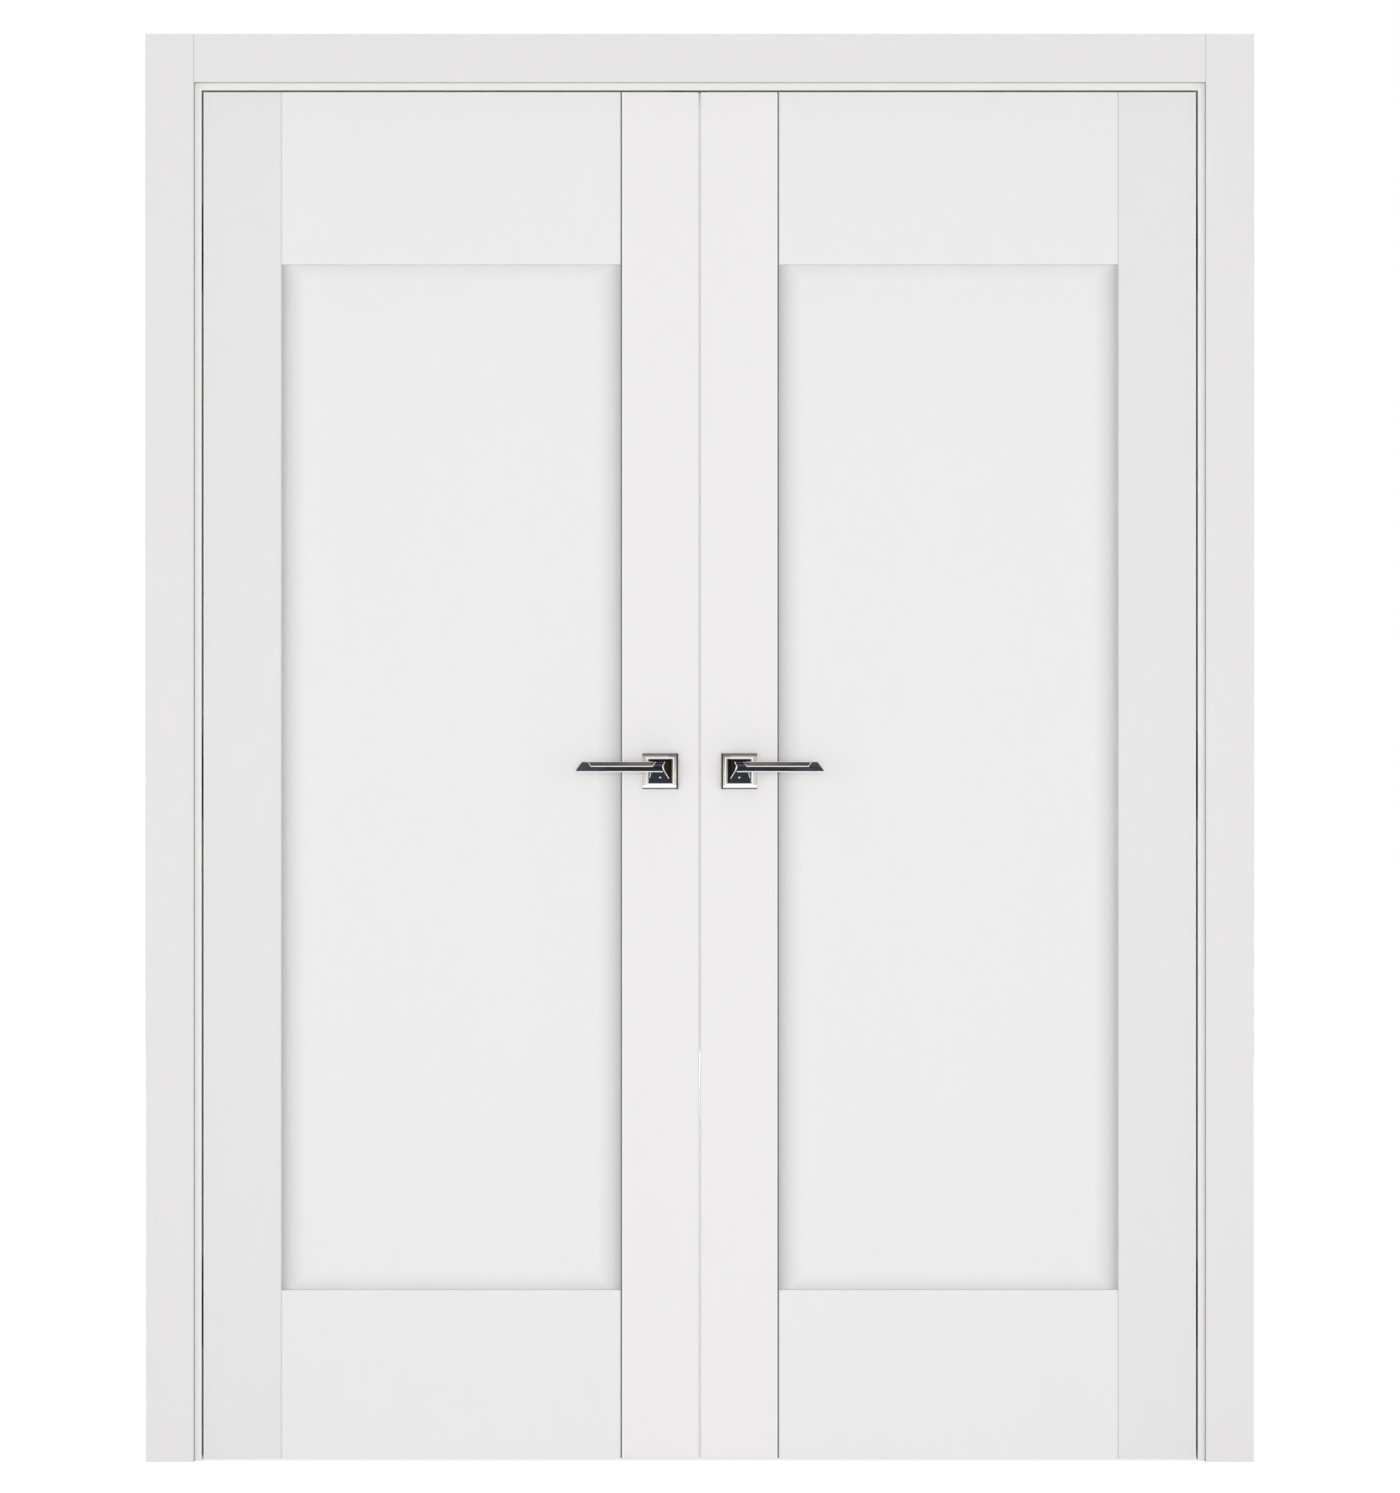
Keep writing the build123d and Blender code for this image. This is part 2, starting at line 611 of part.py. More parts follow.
def rose(side, face):
    """Square rose: bevelled cover with a raised pad, a bearing collar and two threaded posts."""
    cover = extrude(Plane.XZ * Rectangle(ROSE_SIZE, ROSE_SIZE), ROSE_THICKNESS)
    cover = chamfer(cover.faces().sort_by(Axis.Y)[0].edges(), ROSE_BEVEL)
    inside = ROSE_SIZE - 2 * ROSE_WALL
    cover -= extrude(Plane.XZ * Rectangle(inside, inside), ROSE_THICKNESS - ROSE_WALL)
    pad_plane = Plane.XZ.offset(ROSE_THICKNESS)
    cover += extrude(pad_plane * Rectangle(ROSE_PAD_SIZE, ROSE_PAD_SIZE), ROSE_PAD_HEIGHT, taper=45)
    cover += extrude(Plane.XZ * Circle(ROSE_COLLAR_DIAMETER / 2), ROSE_THICKNESS)
    for x in (-STUD_SPACING / 2, STUD_SPACING / 2):
        cover += Pos(x, (ROSE_POST_REACH - ROSE_THICKNESS) / 2, 0) * Rot(90, 0, 0) * Cylinder(
            ROSE_POST_DIAMETER / 2, ROSE_THICKNESS + ROSE_POST_REACH)
    cover -= extrude(Plane.XZ * Circle(HUB_DIAMETER / 2 + HUB_PLAY), ROSE_THICKNESS + ROSE_PAD_HEIGHT)
    cover = at_spindle(cover) - group(rose_studs(STUD_PLAY))
    return sided(on_face(cover, face), side)


def rose_studs(play=0.0):
    """Threaded studs that pull the two roses together through the leaf."""
    reach = LEAF_THICKNESS + 2 * (ROSE_THICKNESS - ROSE_WALL)
    return [rod_along("y", (x, LEAF_CENTRE_Y, LEVER_HEIGHT), STUD_DIAMETER + 2 * play, reach + 2 * play)
            for x in stud_places()]


def neck():
    """Neck of the lever: a skewed pyramid from its square base in front of the rose to the bar."""
    foot = ROSE_THICKNESS + ROSE_PAD_HEIGHT + NECK_GAP
    base = Plane.XZ.offset(foot) * Rectangle(NECK_BASE_WIDTH, NECK_BASE_HEIGHT)
    front = Plane.XZ.offset(NECK_FRONT_SETBACK) * rectangle(NECK_FRONT_LEFT, NECK_FRONT_RIGHT,
                                                            NECK_FRONT_BOTTOM, NECK_FRONT_TOP)
    hub = extrude(Plane.XZ.offset(NECK_GAP) * Circle(HUB_DIAMETER / 2), foot)
    return loft([base, front]) + hub


def bar():
    """Faceted bar of the lever: a sloping upper and lower facet meet in a ridge, and its tip is cut aslant."""
    section = make_face(Polyline((-BAR_BACK_SETBACK, BAR_TOP - BAR_CHAMFER), (-BAR_TOP_SETBACK, BAR_TOP),
                                 (-BAR_RIDGE_SETBACK, BAR_RIDGE),
                                 (-BAR_BOTTOM_SETBACK, BAR_BOTTOM + BAR_CHAMFER),
                                 (-BAR_BOTTOM_SETBACK + BAR_CHAMFER, BAR_BOTTOM),
                                 (-BAR_BACK_SETBACK, BAR_BOTTOM + BAR_CHAMFER), close=True))
    foot = ROSE_THICKNESS + ROSE_PAD_HEIGHT + NECK_GAP
    drop = BAR_RIDGE_SETBACK - foot
    lean = NECK_FRONT_LEFT + NECK_BASE_WIDTH / 2
    start = -NECK_BASE_WIDTH / 2
    solid = extrude(Plane.YZ.offset(start) * section, BAR_REACH - start)
    heel = Plane(origin=(NECK_FRONT_LEFT, -NECK_FRONT_SETBACK, 0),
                 z_dir=(drop, lean * drop / (NECK_FRONT_SETBACK - foot), 0))
    tip = Plane(origin=(BAR_REACH, -BAR_BACK_SETBACK, BAR_BOTTOM), z_dir=BAR_TIP_SLANT)
    solid = split(solid, bisect_by=heel, keep=Keep.TOP)
    return split(solid, bisect_by=tip, keep=Keep.BOTTOM)


def spindle_block(play=0.0):
    """Square spindle through the leaf, or its socket."""
    half = SPINDLE_SIZE / 2 + play
    reach = SPINDLE_HALF_LENGTH + play
    return block(SPINDLE_X - half, SPINDLE_X + half, LEAF_CENTRE_Y - reach, LEAF_CENTRE_Y + reach,
                 LEVER_HEIGHT - half, LEVER_HEIGHT + half)


def grub_screw():
    """Grub screw in the sloping underside of the neck, its point against the spindle."""
    top = -SPINDLE_SIZE / 2 - SPINDLE_PLAY
    body = rod_along("z", (0, -GRUB_SETBACK, top - GRUB_LENGTH / 2), GRUB_DIAMETER, GRUB_LENGTH)
    socket = extrude(Pos(0, -GRUB_SETBACK, top - GRUB_LENGTH) * RegularPolygon(GRUB_SOCKET / 2, 6),
                     GRUB_SOCKET_DEPTH)
    return at_spindle(body - socket)


def lever(side, face):
    """Lever of one face, with the socket of the spindle and the hole of the grub screw."""
    top = -SPINDLE_SIZE / 2
    hole = rod_along("z", (0, -GRUB_SETBACK, top - NECK_BASE_HEIGHT / 2), GRUB_DIAMETER + 2 * STUD_PLAY,
                     NECK_BASE_HEIGHT)
    solid = at_spindle(neck() + bar() - hole) - spindle_block(SPINDLE_PLAY)
    return sided(on_face(solid, face), side)


def grub_screws(side):
    """The grub screws of the front and the back lever."""
    return sided(group([on_face(grub_screw(), face) for face in ("front", "back")]), side)


# Latch in the right leaf

def forend_plate(play=0.0):
    """Forend in the meeting edge, grown by play for its seat."""
    return Pos(MEET_X, 0, FOREND_Z) * stadium(FOREND_HEIGHT + 2 * play, FOREND_WIDTH + 2 * play,
                                              FOREND_THICKNESS + play)


def latch_box(grow):
    """Outside of the latch case behind the forend, grown or shrunk by one distance."""
    front = MEET_X + FOREND_THICKNESS
    half = CASE_THICKNESS / 2 + grow
    return block(front - grow, front + CASE_DEPTH + grow, LEAF_CENTRE_Y - half, LEAF_CENTRE_Y + half,
                 LEVER_HEIGHT - CASE_BELOW - grow, LEVER_HEIGHT + CASE_ABOVE + grow)


def latch_bolt_block(play=0.0, throw=0.0):
    """Latch bolt drawn back flush with the forend, grown by play for its way out."""
    half = BOLT_THICKNESS / 2 + play
    rise = BOLT_HEIGHT / 2 + play
    return block(MEET_X - throw, MEET_X + BOLT_LENGTH, LEAF_CENTRE_Y - half, LEAF_CENTRE_Y + half,
                 BOLT_Z - rise, BOLT_Z + rise)


def latch_bolt():
    """Latch bolt with a rounded nose."""
    bolt = latch_bolt_block()
    nose = bolt.edges().filter_by(Axis.Z).group_by(Axis.X)[0]
    return fillet(nose, BOLT_ROUNDING)


def latch_seat():
    """Seats of the forend and the latch case in the meeting stile."""
    return [forend_plate(CASE_PLAY), latch_box(CASE_PLAY)]


def latch_case():
    """Hollow case with the bearings of the follower, the bolt's way out and holes for the rose posts."""
    bearing = rod_along("y", (SPINDLE_X, LEAF_CENTRE_Y, LEVER_HEIGHT), FOLLOWER_TRUNNION + 2 * FOLLOWER_PLAY,
                        CASE_THICKNESS)
    posts = [rod_along("y", (x, LEAF_CENTRE_Y, LEVER_HEIGHT), STUD_HOLE, CASE_THICKNESS) for x in stud_places()]
    return latch_box(0) - latch_box(-CASE_WALL) - bearing - group(posts) - latch_bolt_block(BOLT_PLAY)


def latch_forend():
    """Forend with the opening of the bolt and two screw holes."""
    return forend_plate() - latch_bolt_block(BOLT_PLAY) - group(edge_screws("right", SCREW_PLAY))


def latch_follower():
    """Follower turned by the spindle, with the arm that draws the bolt."""
    inside = CASE_THICKNESS - 2 * CASE_WALL - 2 * FOLLOWER_PLAY
    centre = (SPINDLE_X, LEAF_CENTRE_Y, LEVER_HEIGHT)
    hub = rod_along("y", centre, FOLLOWER_DIAMETER, inside)
    hub += rod_along("y", centre, FOLLOWER_TRUNNION, CASE_THICKNESS)
    hub += block(SPINDLE_X - FOLLOWER_ARM_WIDTH / 2, SPINDLE_X + FOLLOWER_ARM_WIDTH / 2,
                 LEAF_CENTRE_Y - BOLT_THICKNESS / 2, LEAF_CENTRE_Y + BOLT_THICKNESS / 2,
                 LEVER_HEIGHT, LEVER_HEIGHT + FOLLOWER_ARM_REACH)
    return hub - spindle_block(SPINDLE_PLAY)


# Strike and flush bolts of the left leaf, drawn on the right half

def strike_plate(play=0.0):
    """Plate of the strike in the meeting edge, grown by play for its seat."""
    return Pos(MEET_X, 0, BOLT_Z) * stadium(STRIKE_HEIGHT + 2 * play, FOREND_WIDTH + 2 * play,
                                            STRIKE_THICKNESS + play)


def strike_pocket(grow, depth):
    """Pocket that takes the latch bolt, grown all round for the box and its seat."""
    half = (BOLT_THICKNESS + STRIKE_MOUTH_ROOM) / 2 + grow
    rise = (BOLT_HEIGHT + STRIKE_MOUTH_ROOM) / 2 + grow
    return block(MEET_X, MEET_X + depth, LEAF_CENTRE_Y - half, LEAF_CENTRE_Y + half, BOLT_Z - rise, BOLT_Z + rise)


def strike_seat():
    """Seats of the strike's plate and box in the meeting stile."""
    return [strike_plate(CASE_PLAY), strike_pocket(STRIKE_BOX_WALL + CASE_PLAY, STRIKE_BOX_DEPTH + CASE_PLAY)]


def latch_strike():
    """Strike: plate with a box behind its mouth."""
    shell = strike_plate() + strike_pocket(STRIKE_BOX_WALL, STRIKE_BOX_DEPTH)
    hollow = strike_pocket(0, STRIKE_BOX_DEPTH - STRIKE_BOX_WALL)
    return sided(shell - hollow - group(edge_screws("left", SCREW_PLAY)), "left")


def strike_magnet():
    """Magnet at the bottom of the strike's box, which draws the latch bolt out."""
    back = STRIKE_BOX_DEPTH - STRIKE_BOX_WALL
    magnet = strike_pocket(-MAGNET_PLAY, back) - strike_pocket(0, back - MAGNET_THICKNESS)
    return sided(magnet, "left")


def at_both_ends(piece):
    """A flush bolt piece drawn at the top of the leaf, and its mirror image at the bottom."""
    return [piece, mirror(piece, about=Plane.XY.offset(LEAF_MIDDLE))]


def flush_plate_blank(play=0.0):
    """Plate of the top flush bolt in the meeting edge, grown by play for its seat."""
    return Pos(MEET_X, 0, FLUSH_PLATE_Z) * stadium(FLUSH_PLATE_HEIGHT + 2 * play, FOREND_WIDTH + 2 * play,
                                                   FLUSH_PLATE_THICKNESS + play)


def flush_channel(grow):
    """Outside of the channel behind the plate, grown or shrunk by one distance."""
    front = MEET_X + FLUSH_PLATE_THICKNESS
    half = FLUSH_CHANNEL_WIDTH / 2 + grow
    rise = FLUSH_CHANNEL_HEIGHT / 2 + grow
    return block(front, MEET_X + FLUSH_CHANNEL_DEPTH + grow, LEAF_CENTRE_Y - half, LEAF_CENTRE_Y + half,
                 FLUSH_PLATE_Z - rise, FLUSH_PLATE_Z + rise)


def flush_rod_bore(play):
    """Way of the rod, from inside the channel to the top of the leaf."""
    middle = (FLUSH_PLATE_Z + LEAF_TOP) / 2
    return rod_along("z", (ROD_X, LEAF_CENTRE_Y, middle), FLUSH_ROD_DIAMETER + 2 * play,
                     LEAF_TOP - FLUSH_PLATE_Z)


def flush_bolt_seats():
    """Seats of both flush bolts in the meeting stile."""
    top = [flush_plate_blank(CASE_PLAY), flush_channel(CASE_PLAY), flush_rod_bore(FLUSH_ROD_PLAY)]
    return [seat for piece in top for seat in at_both_ends(piece)]


def flush_bolt_plate(end):
    """Plate with the slot of the thumb piece and the channel that guides the rod."""
    low = FLUSH_PLATE_Z - FLUSH_THUMB_DROP - FLUSH_THUMB_HEIGHT / 2 - FLUSH_SLOT_ROOM
    high = FLUSH_PLATE_Z - FLUSH_THUMB_DROP + FLUSH_THUMB_HEIGHT / 2 + FLUSH_THROW + FLUSH_SLOT_ROOM
    half = FLUSH_THUMB_WIDTH / 2 + FLUSH_ROD_PLAY
    slot = block(MEET_X, MEET_X + FLUSH_PLATE_THICKNESS, LEAF_CENTRE_Y - half, LEAF_CENTRE_Y + half, low, high)
    piece = flush_plate_blank() + flush_channel(0) - flush_channel(-FLUSH_CHANNEL_WALL)
    piece = piece - slot - flush_rod_bore(FLUSH_ROD_PLAY) - group(edge_screws("left", SCREW_PLAY))
    return sided(at_both_ends(piece)[end == "bottom"], "left")


def flush_bolt(end):
    """Rod of a flush bolt, drawn back into the leaf, with the thumb piece that slides it."""
    foot = FLUSH_PLATE_Z - FLUSH_ROD_TAIL
    top = LEAF_TOP - FLUSH_ROD_END_ROOM
    rod = rod_along("z", (ROD_X, LEAF_CENTRE_Y, (foot + top) / 2), FLUSH_ROD_DIAMETER, top - foot)
    rod = chamfer(rod.edges().filter_by(GeomType.CIRCLE), DOWEL_BEVEL)
    middle = FLUSH_PLATE_Z - FLUSH_THUMB_DROP
    thumb = block(MEET_X + FLUSH_THUMB_RECESS, ROD_X, LEAF_CENTRE_Y - FLUSH_THUMB_WIDTH / 2,
                  LEAF_CENTRE_Y + FLUSH_THUMB_WIDTH / 2, middle - FLUSH_THUMB_HEIGHT / 2,
                  middle + FLUSH_THUMB_HEIGHT / 2)
    return sided(at_both_ends(rod + thumb)[end == "bottom"], "left")


def edge_screws(side, play=0.0):
    """Screws of the plates in the meeting edge, drawn on the right half."""
    plates = [(FOREND_Z, FOREND_HEIGHT, PLATE_SCREW_LENGTH)]
    if side == "left":
        plates = [(BOLT_Z, STRIKE_HEIGHT, PLATE_SCREW_LENGTH),
                  (FLUSH_PLATE_Z, FLUSH_PLATE_HEIGHT, FLUSH_SCREW_LENGTH),
                  (2 * LEAF_MIDDLE - FLUSH_PLATE_Z, FLUSH_PLATE_HEIGHT, FLUSH_SCREW_LENGTH)]
    return [Pos(MEET_X, LEAF_CENTRE_Y, middle + end * (height / 2 - PLATE_SCREW_INSET)) * screw(length, play)
            for middle, height, length in plates for end in (-1, 1)]


# Nodes

def frame_nodes():
    """Everything fixed to the wall."""
    nodes = {
        "head_jamb": head_jamb(),
        "stop_gasket": stop_gasket(),
        "frame_screws": group(corner_screws() + head_strike_screws()),
        "head_bolt_strike": head_bolt_strike(),
        "jamb_hinge_screws": group(jamb_hinge_screws("left") + jamb_hinge_screws("right")),
    }
    for face in ("front", "back"):
        nodes[f"head_{face}_casing"] = head_casing(face)
        for side in SIDES:
            nodes[f"{side}_{face}_casing"] = side_casing(side, face)
    for side in SIDES:
        nodes[f"{side}_jamb"] = side_jamb(side)
        nodes[f"{side}_jamb_hinge_cups"] = jamb_hinge_cups(side)
        nodes[f"{side}_jamb_hinge_arms"] = hinge_arms(side, "jamb")
    return nodes


def leaf_nodes(side):
    """Wood, hinges and lever set of one leaf."""
    nodes = {
        "hinge_stile": hinge_stile(side),
        "meeting_stile": meeting_stile(side),
        "top_rail": rail(LEAF_TOP - TOP_RAIL_HEIGHT, TOP_RAIL_HEIGHT, side),
        "bottom_rail": rail(FLOOR_GAP, BOTTOM_RAIL_HEIGHT, side),
        "panel": sided(leaf_panel(), side),
        "rail_dowels": sided(group(dowels()), side),
        "leaf_hinge_cups": leaf_hinge_cups(side),
        "leaf_hinge_screws": sided(group(leaf_hinge_screws()), side),
        "leaf_hinge_arms": hinge_arms(side, "leaf"),
        "hardware_screws": sided(group(rose_studs() + edge_screws(side)), side),
        "spindle": sided(spindle_block(), side),
        "grub_screws": grub_screws(side),
    }
    for face in ("front", "back"):
        nodes[f"{face}_rose"] = rose(side, face)
        nodes[f"{face}_lever"] = lever(side, face)
    return {f"{side}_{name}": piece for name, piece in nodes.items()}


def latch_nodes():
    """The latch of the right leaf, and the strike and flush bolts of the left leaf."""
    return {
        "latch_case": latch_case(),
        "latch_forend": latch_forend(),
        "latch_follower": latch_follower(),
        "latch_bolt": latch_bolt(),
        "latch_strike": latch_strike(),
        "strike_magnet": strike_magnet(),
        "top_flush_bolt_plate": flush_bolt_plate("top"),
        "bottom_flush_bolt_plate": flush_bolt_plate("bottom"),
        "top_flush_bolt": flush_bolt("top"),
        "bottom_flush_bolt": flush_bolt("bottom"),
    }


def main():
    """Build every node, move it to the part's origin and write it."""
    os.makedirs("parts", exist_ok=True)
    nodes = frame_nodes()
    for side in SIDES:
        nodes.update(leaf_nodes(side))
    nodes.update(latch_nodes())
    for name, piece in nodes.items():
        placed = Pos(0, -CENTRE_Y, 0) * group([piece])
        export_step(placed, f"parts/{name}.step")
    print(len(nodes), "nodes")


if __name__ == "__main__":
    main()
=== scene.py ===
"""Looks of a prehung double door: white grained laminate, two-tone lever handles and bright hardware.

Every size is in metres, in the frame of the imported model: X to the right, Y into the wall and Z up.
"""

from __future__ import annotations

import logging
import math
from dataclasses import dataclass
from enum import Enum
from typing import Union

import bpy
import numpy as np
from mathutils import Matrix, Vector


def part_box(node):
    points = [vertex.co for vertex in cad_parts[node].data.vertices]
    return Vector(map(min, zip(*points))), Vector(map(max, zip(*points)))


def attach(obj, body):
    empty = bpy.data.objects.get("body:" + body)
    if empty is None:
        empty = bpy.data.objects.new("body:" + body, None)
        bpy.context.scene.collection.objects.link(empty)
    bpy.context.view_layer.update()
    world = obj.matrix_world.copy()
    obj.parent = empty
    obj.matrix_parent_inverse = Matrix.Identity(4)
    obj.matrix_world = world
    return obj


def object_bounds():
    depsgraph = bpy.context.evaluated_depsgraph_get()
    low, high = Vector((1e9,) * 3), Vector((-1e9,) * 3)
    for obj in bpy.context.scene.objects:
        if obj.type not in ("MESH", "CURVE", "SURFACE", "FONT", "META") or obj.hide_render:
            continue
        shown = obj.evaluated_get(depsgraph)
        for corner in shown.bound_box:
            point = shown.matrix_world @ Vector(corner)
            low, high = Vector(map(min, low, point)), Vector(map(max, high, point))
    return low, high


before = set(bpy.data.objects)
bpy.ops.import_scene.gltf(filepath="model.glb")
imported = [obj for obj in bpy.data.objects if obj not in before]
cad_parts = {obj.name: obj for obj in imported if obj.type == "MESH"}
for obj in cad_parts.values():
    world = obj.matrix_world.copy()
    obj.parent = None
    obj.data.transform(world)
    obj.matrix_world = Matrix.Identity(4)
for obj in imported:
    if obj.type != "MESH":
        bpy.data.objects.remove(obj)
CAD_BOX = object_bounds()

LOG = logging.getLogger("double_door")

Colour = tuple[float, float, float]
Point = tuple[float, float, float]
Span = tuple[float, float]
Stops = tuple[Span, Span]
Faces = list[list[int]]
Number = Union[float, "Amount"]

PHOTO_WIDTH = 1400
PHOTO_HEIGHT = 1493
FLOOR_ROW = 1461
CASING_TOP_ROW = 32.7
MEETING_COLUMN = 699.75


class Side(Enum):
    """The two leaves, with the sign of X on their side."""

    LEFT = -1
    RIGHT = 1

    @property
    def word(self) -> str:
        """The side's name as the nodes have it."""
        return self.name.lower()


class Face(Enum):
    """The two faces of the door, with the sign of the way out of each along Y."""

    FRONT = -1
    BACK = 1

    @property
    def word(self) -> str:
        """The face's name as the nodes have it."""
        return self.name.lower()


class Grain(Enum):
    """Which way a board's grain runs, as the share of the grain's scale along X, Y and Z."""

    UPRIGHT = (1.0, 1.0, 0.05)
    LEVEL = (0.05, 1.0, 1.0)


class Across(Enum):
    """The axis that a joint line is measured along, as the number of the coordinate."""

    X = 0
    Z = 2


def from_screen(*parts: float) -> Colour:
    """A colour as it shows on a screen, turned into the linear colour that shaders take.

    Args:
        parts: Its red, green and blue, 0 to 255.

    Returns:
        The linear colour.
    """
    share = np.array(parts) / 255
    linear = np.where(share <= 0.04045, share / 12.92, ((share + 0.055) / 1.055) ** 2.4)
    return tuple(float(value) for value in linear)


@dataclass(frozen=True, eq=False)
class Amount:
    """A number worked out over a surface: a shader's output socket that takes part in Python sums."""

    shader: "Shader"
    socket: bpy.types.NodeSocket

    def _sum(self, operation: str, first: Number, second: Number = 0.0) -> "Amount":
        """The result of one Math node on one or two numbers."""
        node = self.shader.node("ShaderNodeMath", {"operation": operation}, {0: first, 1: second})
        return Amount(self.shader, node.outputs[0])

    def __add__(self, other: Number) -> "Amount":
        """This number plus another."""
        return self._sum("ADD", self, other)

    __radd__ = __add__

    def __sub__(self, other: Number) -> "Amount":
        """This number less another."""
        return self._sum("SUBTRACT", self, other)

    def __rsub__(self, other: Number) -> "Amount":
        """Another number less this one."""
        return self._sum("SUBTRACT", other, self)

    def __mul__(self, other: Number) -> "Amount":
        """This number times another."""
        return self._sum("MULTIPLY", self, other)

    __rmul__ = __mul__

    def __abs__(self) -> "Amount":
        """This number without its sign."""
        return self._sum("ABSOLUTE", self)

    def __gt__(self, other: Number) -> "Amount":
        """1 where this number is above another, and 0 elsewhere."""
        return self._sum("GREATER_THAN", self, other)

    def __lt__(self, other: Number) -> "Amount":
        """1 where this number is below another, and 0 elsewhere."""
        return self._sum("LESS_THAN", self, other)

    def __pow__(self, other: Number) -> "Amount":
        """This number raised to another."""
        return self._sum("POWER", self, other)

    def at_least(self, other: Number) -> "Amount":
        """The larger of this number and another."""
        return self._sum("MAXIMUM", self, other)

    def at_most(self, other: Number) -> "Amount":
        """The smaller of this number and another."""
        return self._sum("MINIMUM", self, other)

    def mixed(self, other: "Amount", share: float) -> "Amount":
        """This number with a share of another in its place."""
        return self * (1 - share) + other * share


@dataclass(frozen=True)
class Noise:
    """Fractal noise: cycles a metre along X, Y and Z, octaves, and how strong the fine ones are."""

    scale: Point
    octaves: float = 3.0
    fine: float = 0.6

    def stretched(self, share: Point) -> "Noise":
        """The same noise at a share of its scale along each axis."""
        return Noise(tuple(np.multiply(self.scale, share).tolist()), self.octaves, self.fine)


class Shader:
    """The nodes of one material or world, with the few steps that every finish here takes."""

    def __init__(self, owner: Union[bpy.types.Material, bpy.types.World]) -> None:
        """Empties the owner's node tree.

        Args:
            owner: The material or world whose nodes are made.
        """
        owner.use_nodes = True
        self.tree = owner.node_tree
        self.tree.nodes.clear()

    def node(self, kind: str, settings: dict | None = None,
             inputs: dict | None = None) -> bpy.types.Node:
        """Adds a node, sets it and fills its sockets.

        Args:
            kind: The node's type.
            settings: Properties of the node, set before its sockets. Under the name "stops" it is a
                colour ramp's two stops, each as its place and grey.
            inputs: Values, amounts or sockets, under each input socket's name or number.

        Returns:
            The node.
        """
        made = self.tree.nodes.new(kind)
        for name, value in (settings or {}).items():
            if name == "stops":
                for element, (place, grey) in zip(made.color_ramp.elements, value):
                    element.position = place
                    element.color = (grey, grey, grey, 1.0)
            else:
                setattr(made, name, value)
        for name, value in (inputs or {}).items():
            source = value.socket if isinstance(value, Amount) else value
            if isinstance(source, bpy.types.NodeSocket):
                self.tree.links.new(source, made.inputs[name])
            elif isinstance(source, tuple) and len(source) == 3 and made.inputs[name].type == "RGBA":
                made.inputs[name].default_value = (*source, 1.0)
            else:
                made.inputs[name].default_value = source
        return made

    def place(self) -> bpy.types.NodeSocket:
        """The point of the surface in the object's own coordinates."""
        return self.node("ShaderNodeTexCoord").outputs["Object"]

    def parts(self, vector: bpy.types.NodeSocket) -> tuple[Amount, Amount, Amount]:
        """A vector's three parts as numbers."""
        split = self.node("ShaderNodeSeparateXYZ", inputs={0: vector})
        return tuple(Amount(self, output) for output in split.outputs)

    def axes(self) -> tuple[Amount, Amount, Amount]:
        """The point's X, Y and Z."""
        return self.parts(self.place())

    def facing(self) -> tuple[Amount, Amount, Amount]:
        """The way that the surface faces, in the object's own axes, as its X, Y and Z."""
        return self.parts(self.node("ShaderNodeTexCoord").outputs["Normal"])

    def noise(self, pattern: Noise) -> Amount:
        """Fractal noise on the object's coordinates.

        Args:
            pattern: The noise's scale, octaves and roughness.

        Returns:
            The noise, about 0.5.
        """
        scaled = self.node("ShaderNodeMapping", inputs={"Vector": self.place(), "Scale": pattern.scale})
        made = self.node("ShaderNodeTexNoise", inputs={
            "Vector": scaled.outputs[0], "Scale": 1.0, "Detail": pattern.octaves,
            "Roughness": pattern.fine})
        return Amount(self, made.outputs[0])

    def ramp(self, amount: Amount, stops: Stops) -> Amount:
        """A number from 0 to 1 put through a ramp, given as its two stops' places and values."""
        return Amount(self, self.node("ShaderNodeValToRGB", {"stops": stops}, {0: amount}).outputs[0])

    def blend(self, amount: Number, first: object, second: object) -> bpy.types.NodeSocket:
        """Mixes two colours or their sockets: an amount of 0 gives the first, and 1 the second."""
        mixed = self.node("ShaderNodeMix", {"data_type": "RGBA"}, {0: amount, 6: first, 7: second})
        return mixed.outputs[2]

    def bump(self, height: Amount, depth: float) -> bpy.types.NodeSocket:
        """The normal over small relief, given as its height, 0 to 1, and how deep 1 is in metres."""
        inputs = {"Strength": 1.0, "Distance": depth, "Height": height}
        return self.node("ShaderNodeBump", inputs=inputs).outputs[0]

    def surface(self, values: dict) -> None:
        """Ends a material with one principled shader, given what goes into its sockets."""
        principled = self.node("ShaderNodeBsdfPrincipled", inputs=values)
        self.node("ShaderNodeOutputMaterial", inputs={0: principled.outputs[0]})


MATERIALS: dict[str, bpy.types.Material] = {}


@dataclass(frozen=True)
class Finish:
    """What every finish has: a name, a colour, a roughness and how far that swings over the surface."""

    name: str
    colour: Colour
    roughness: float
    swing: float = 0.1

    def material(self) -> bpy.types.Material:
        """The finish's material, made once for its name and then shared.

        Returns:
            The material.
        """
        if self.name not in MATERIALS:
            MATERIALS[self.name] = bpy.data.materials.new(self.name)
            self.paint(Shader(MATERIALS[self.name]))
        return MATERIALS[self.name]

    def paint(self, shader: Shader) -> None:
        """Makes the finish's nodes."""
        raise NotImplementedError

    def darker(self, share: float) -> Colour:
        """The finish's colour at a share of its strength."""
        red, green, blue = self.colour
        return red * share, green * share, blue * share

    def sheen(self, pattern: Amount) -> Amount:
        """The roughness: the finish's own where the pattern is 0.5, and half the swing off at 0 or 1."""
        return pattern * self.swing + (self.roughness - self.swing / 2)


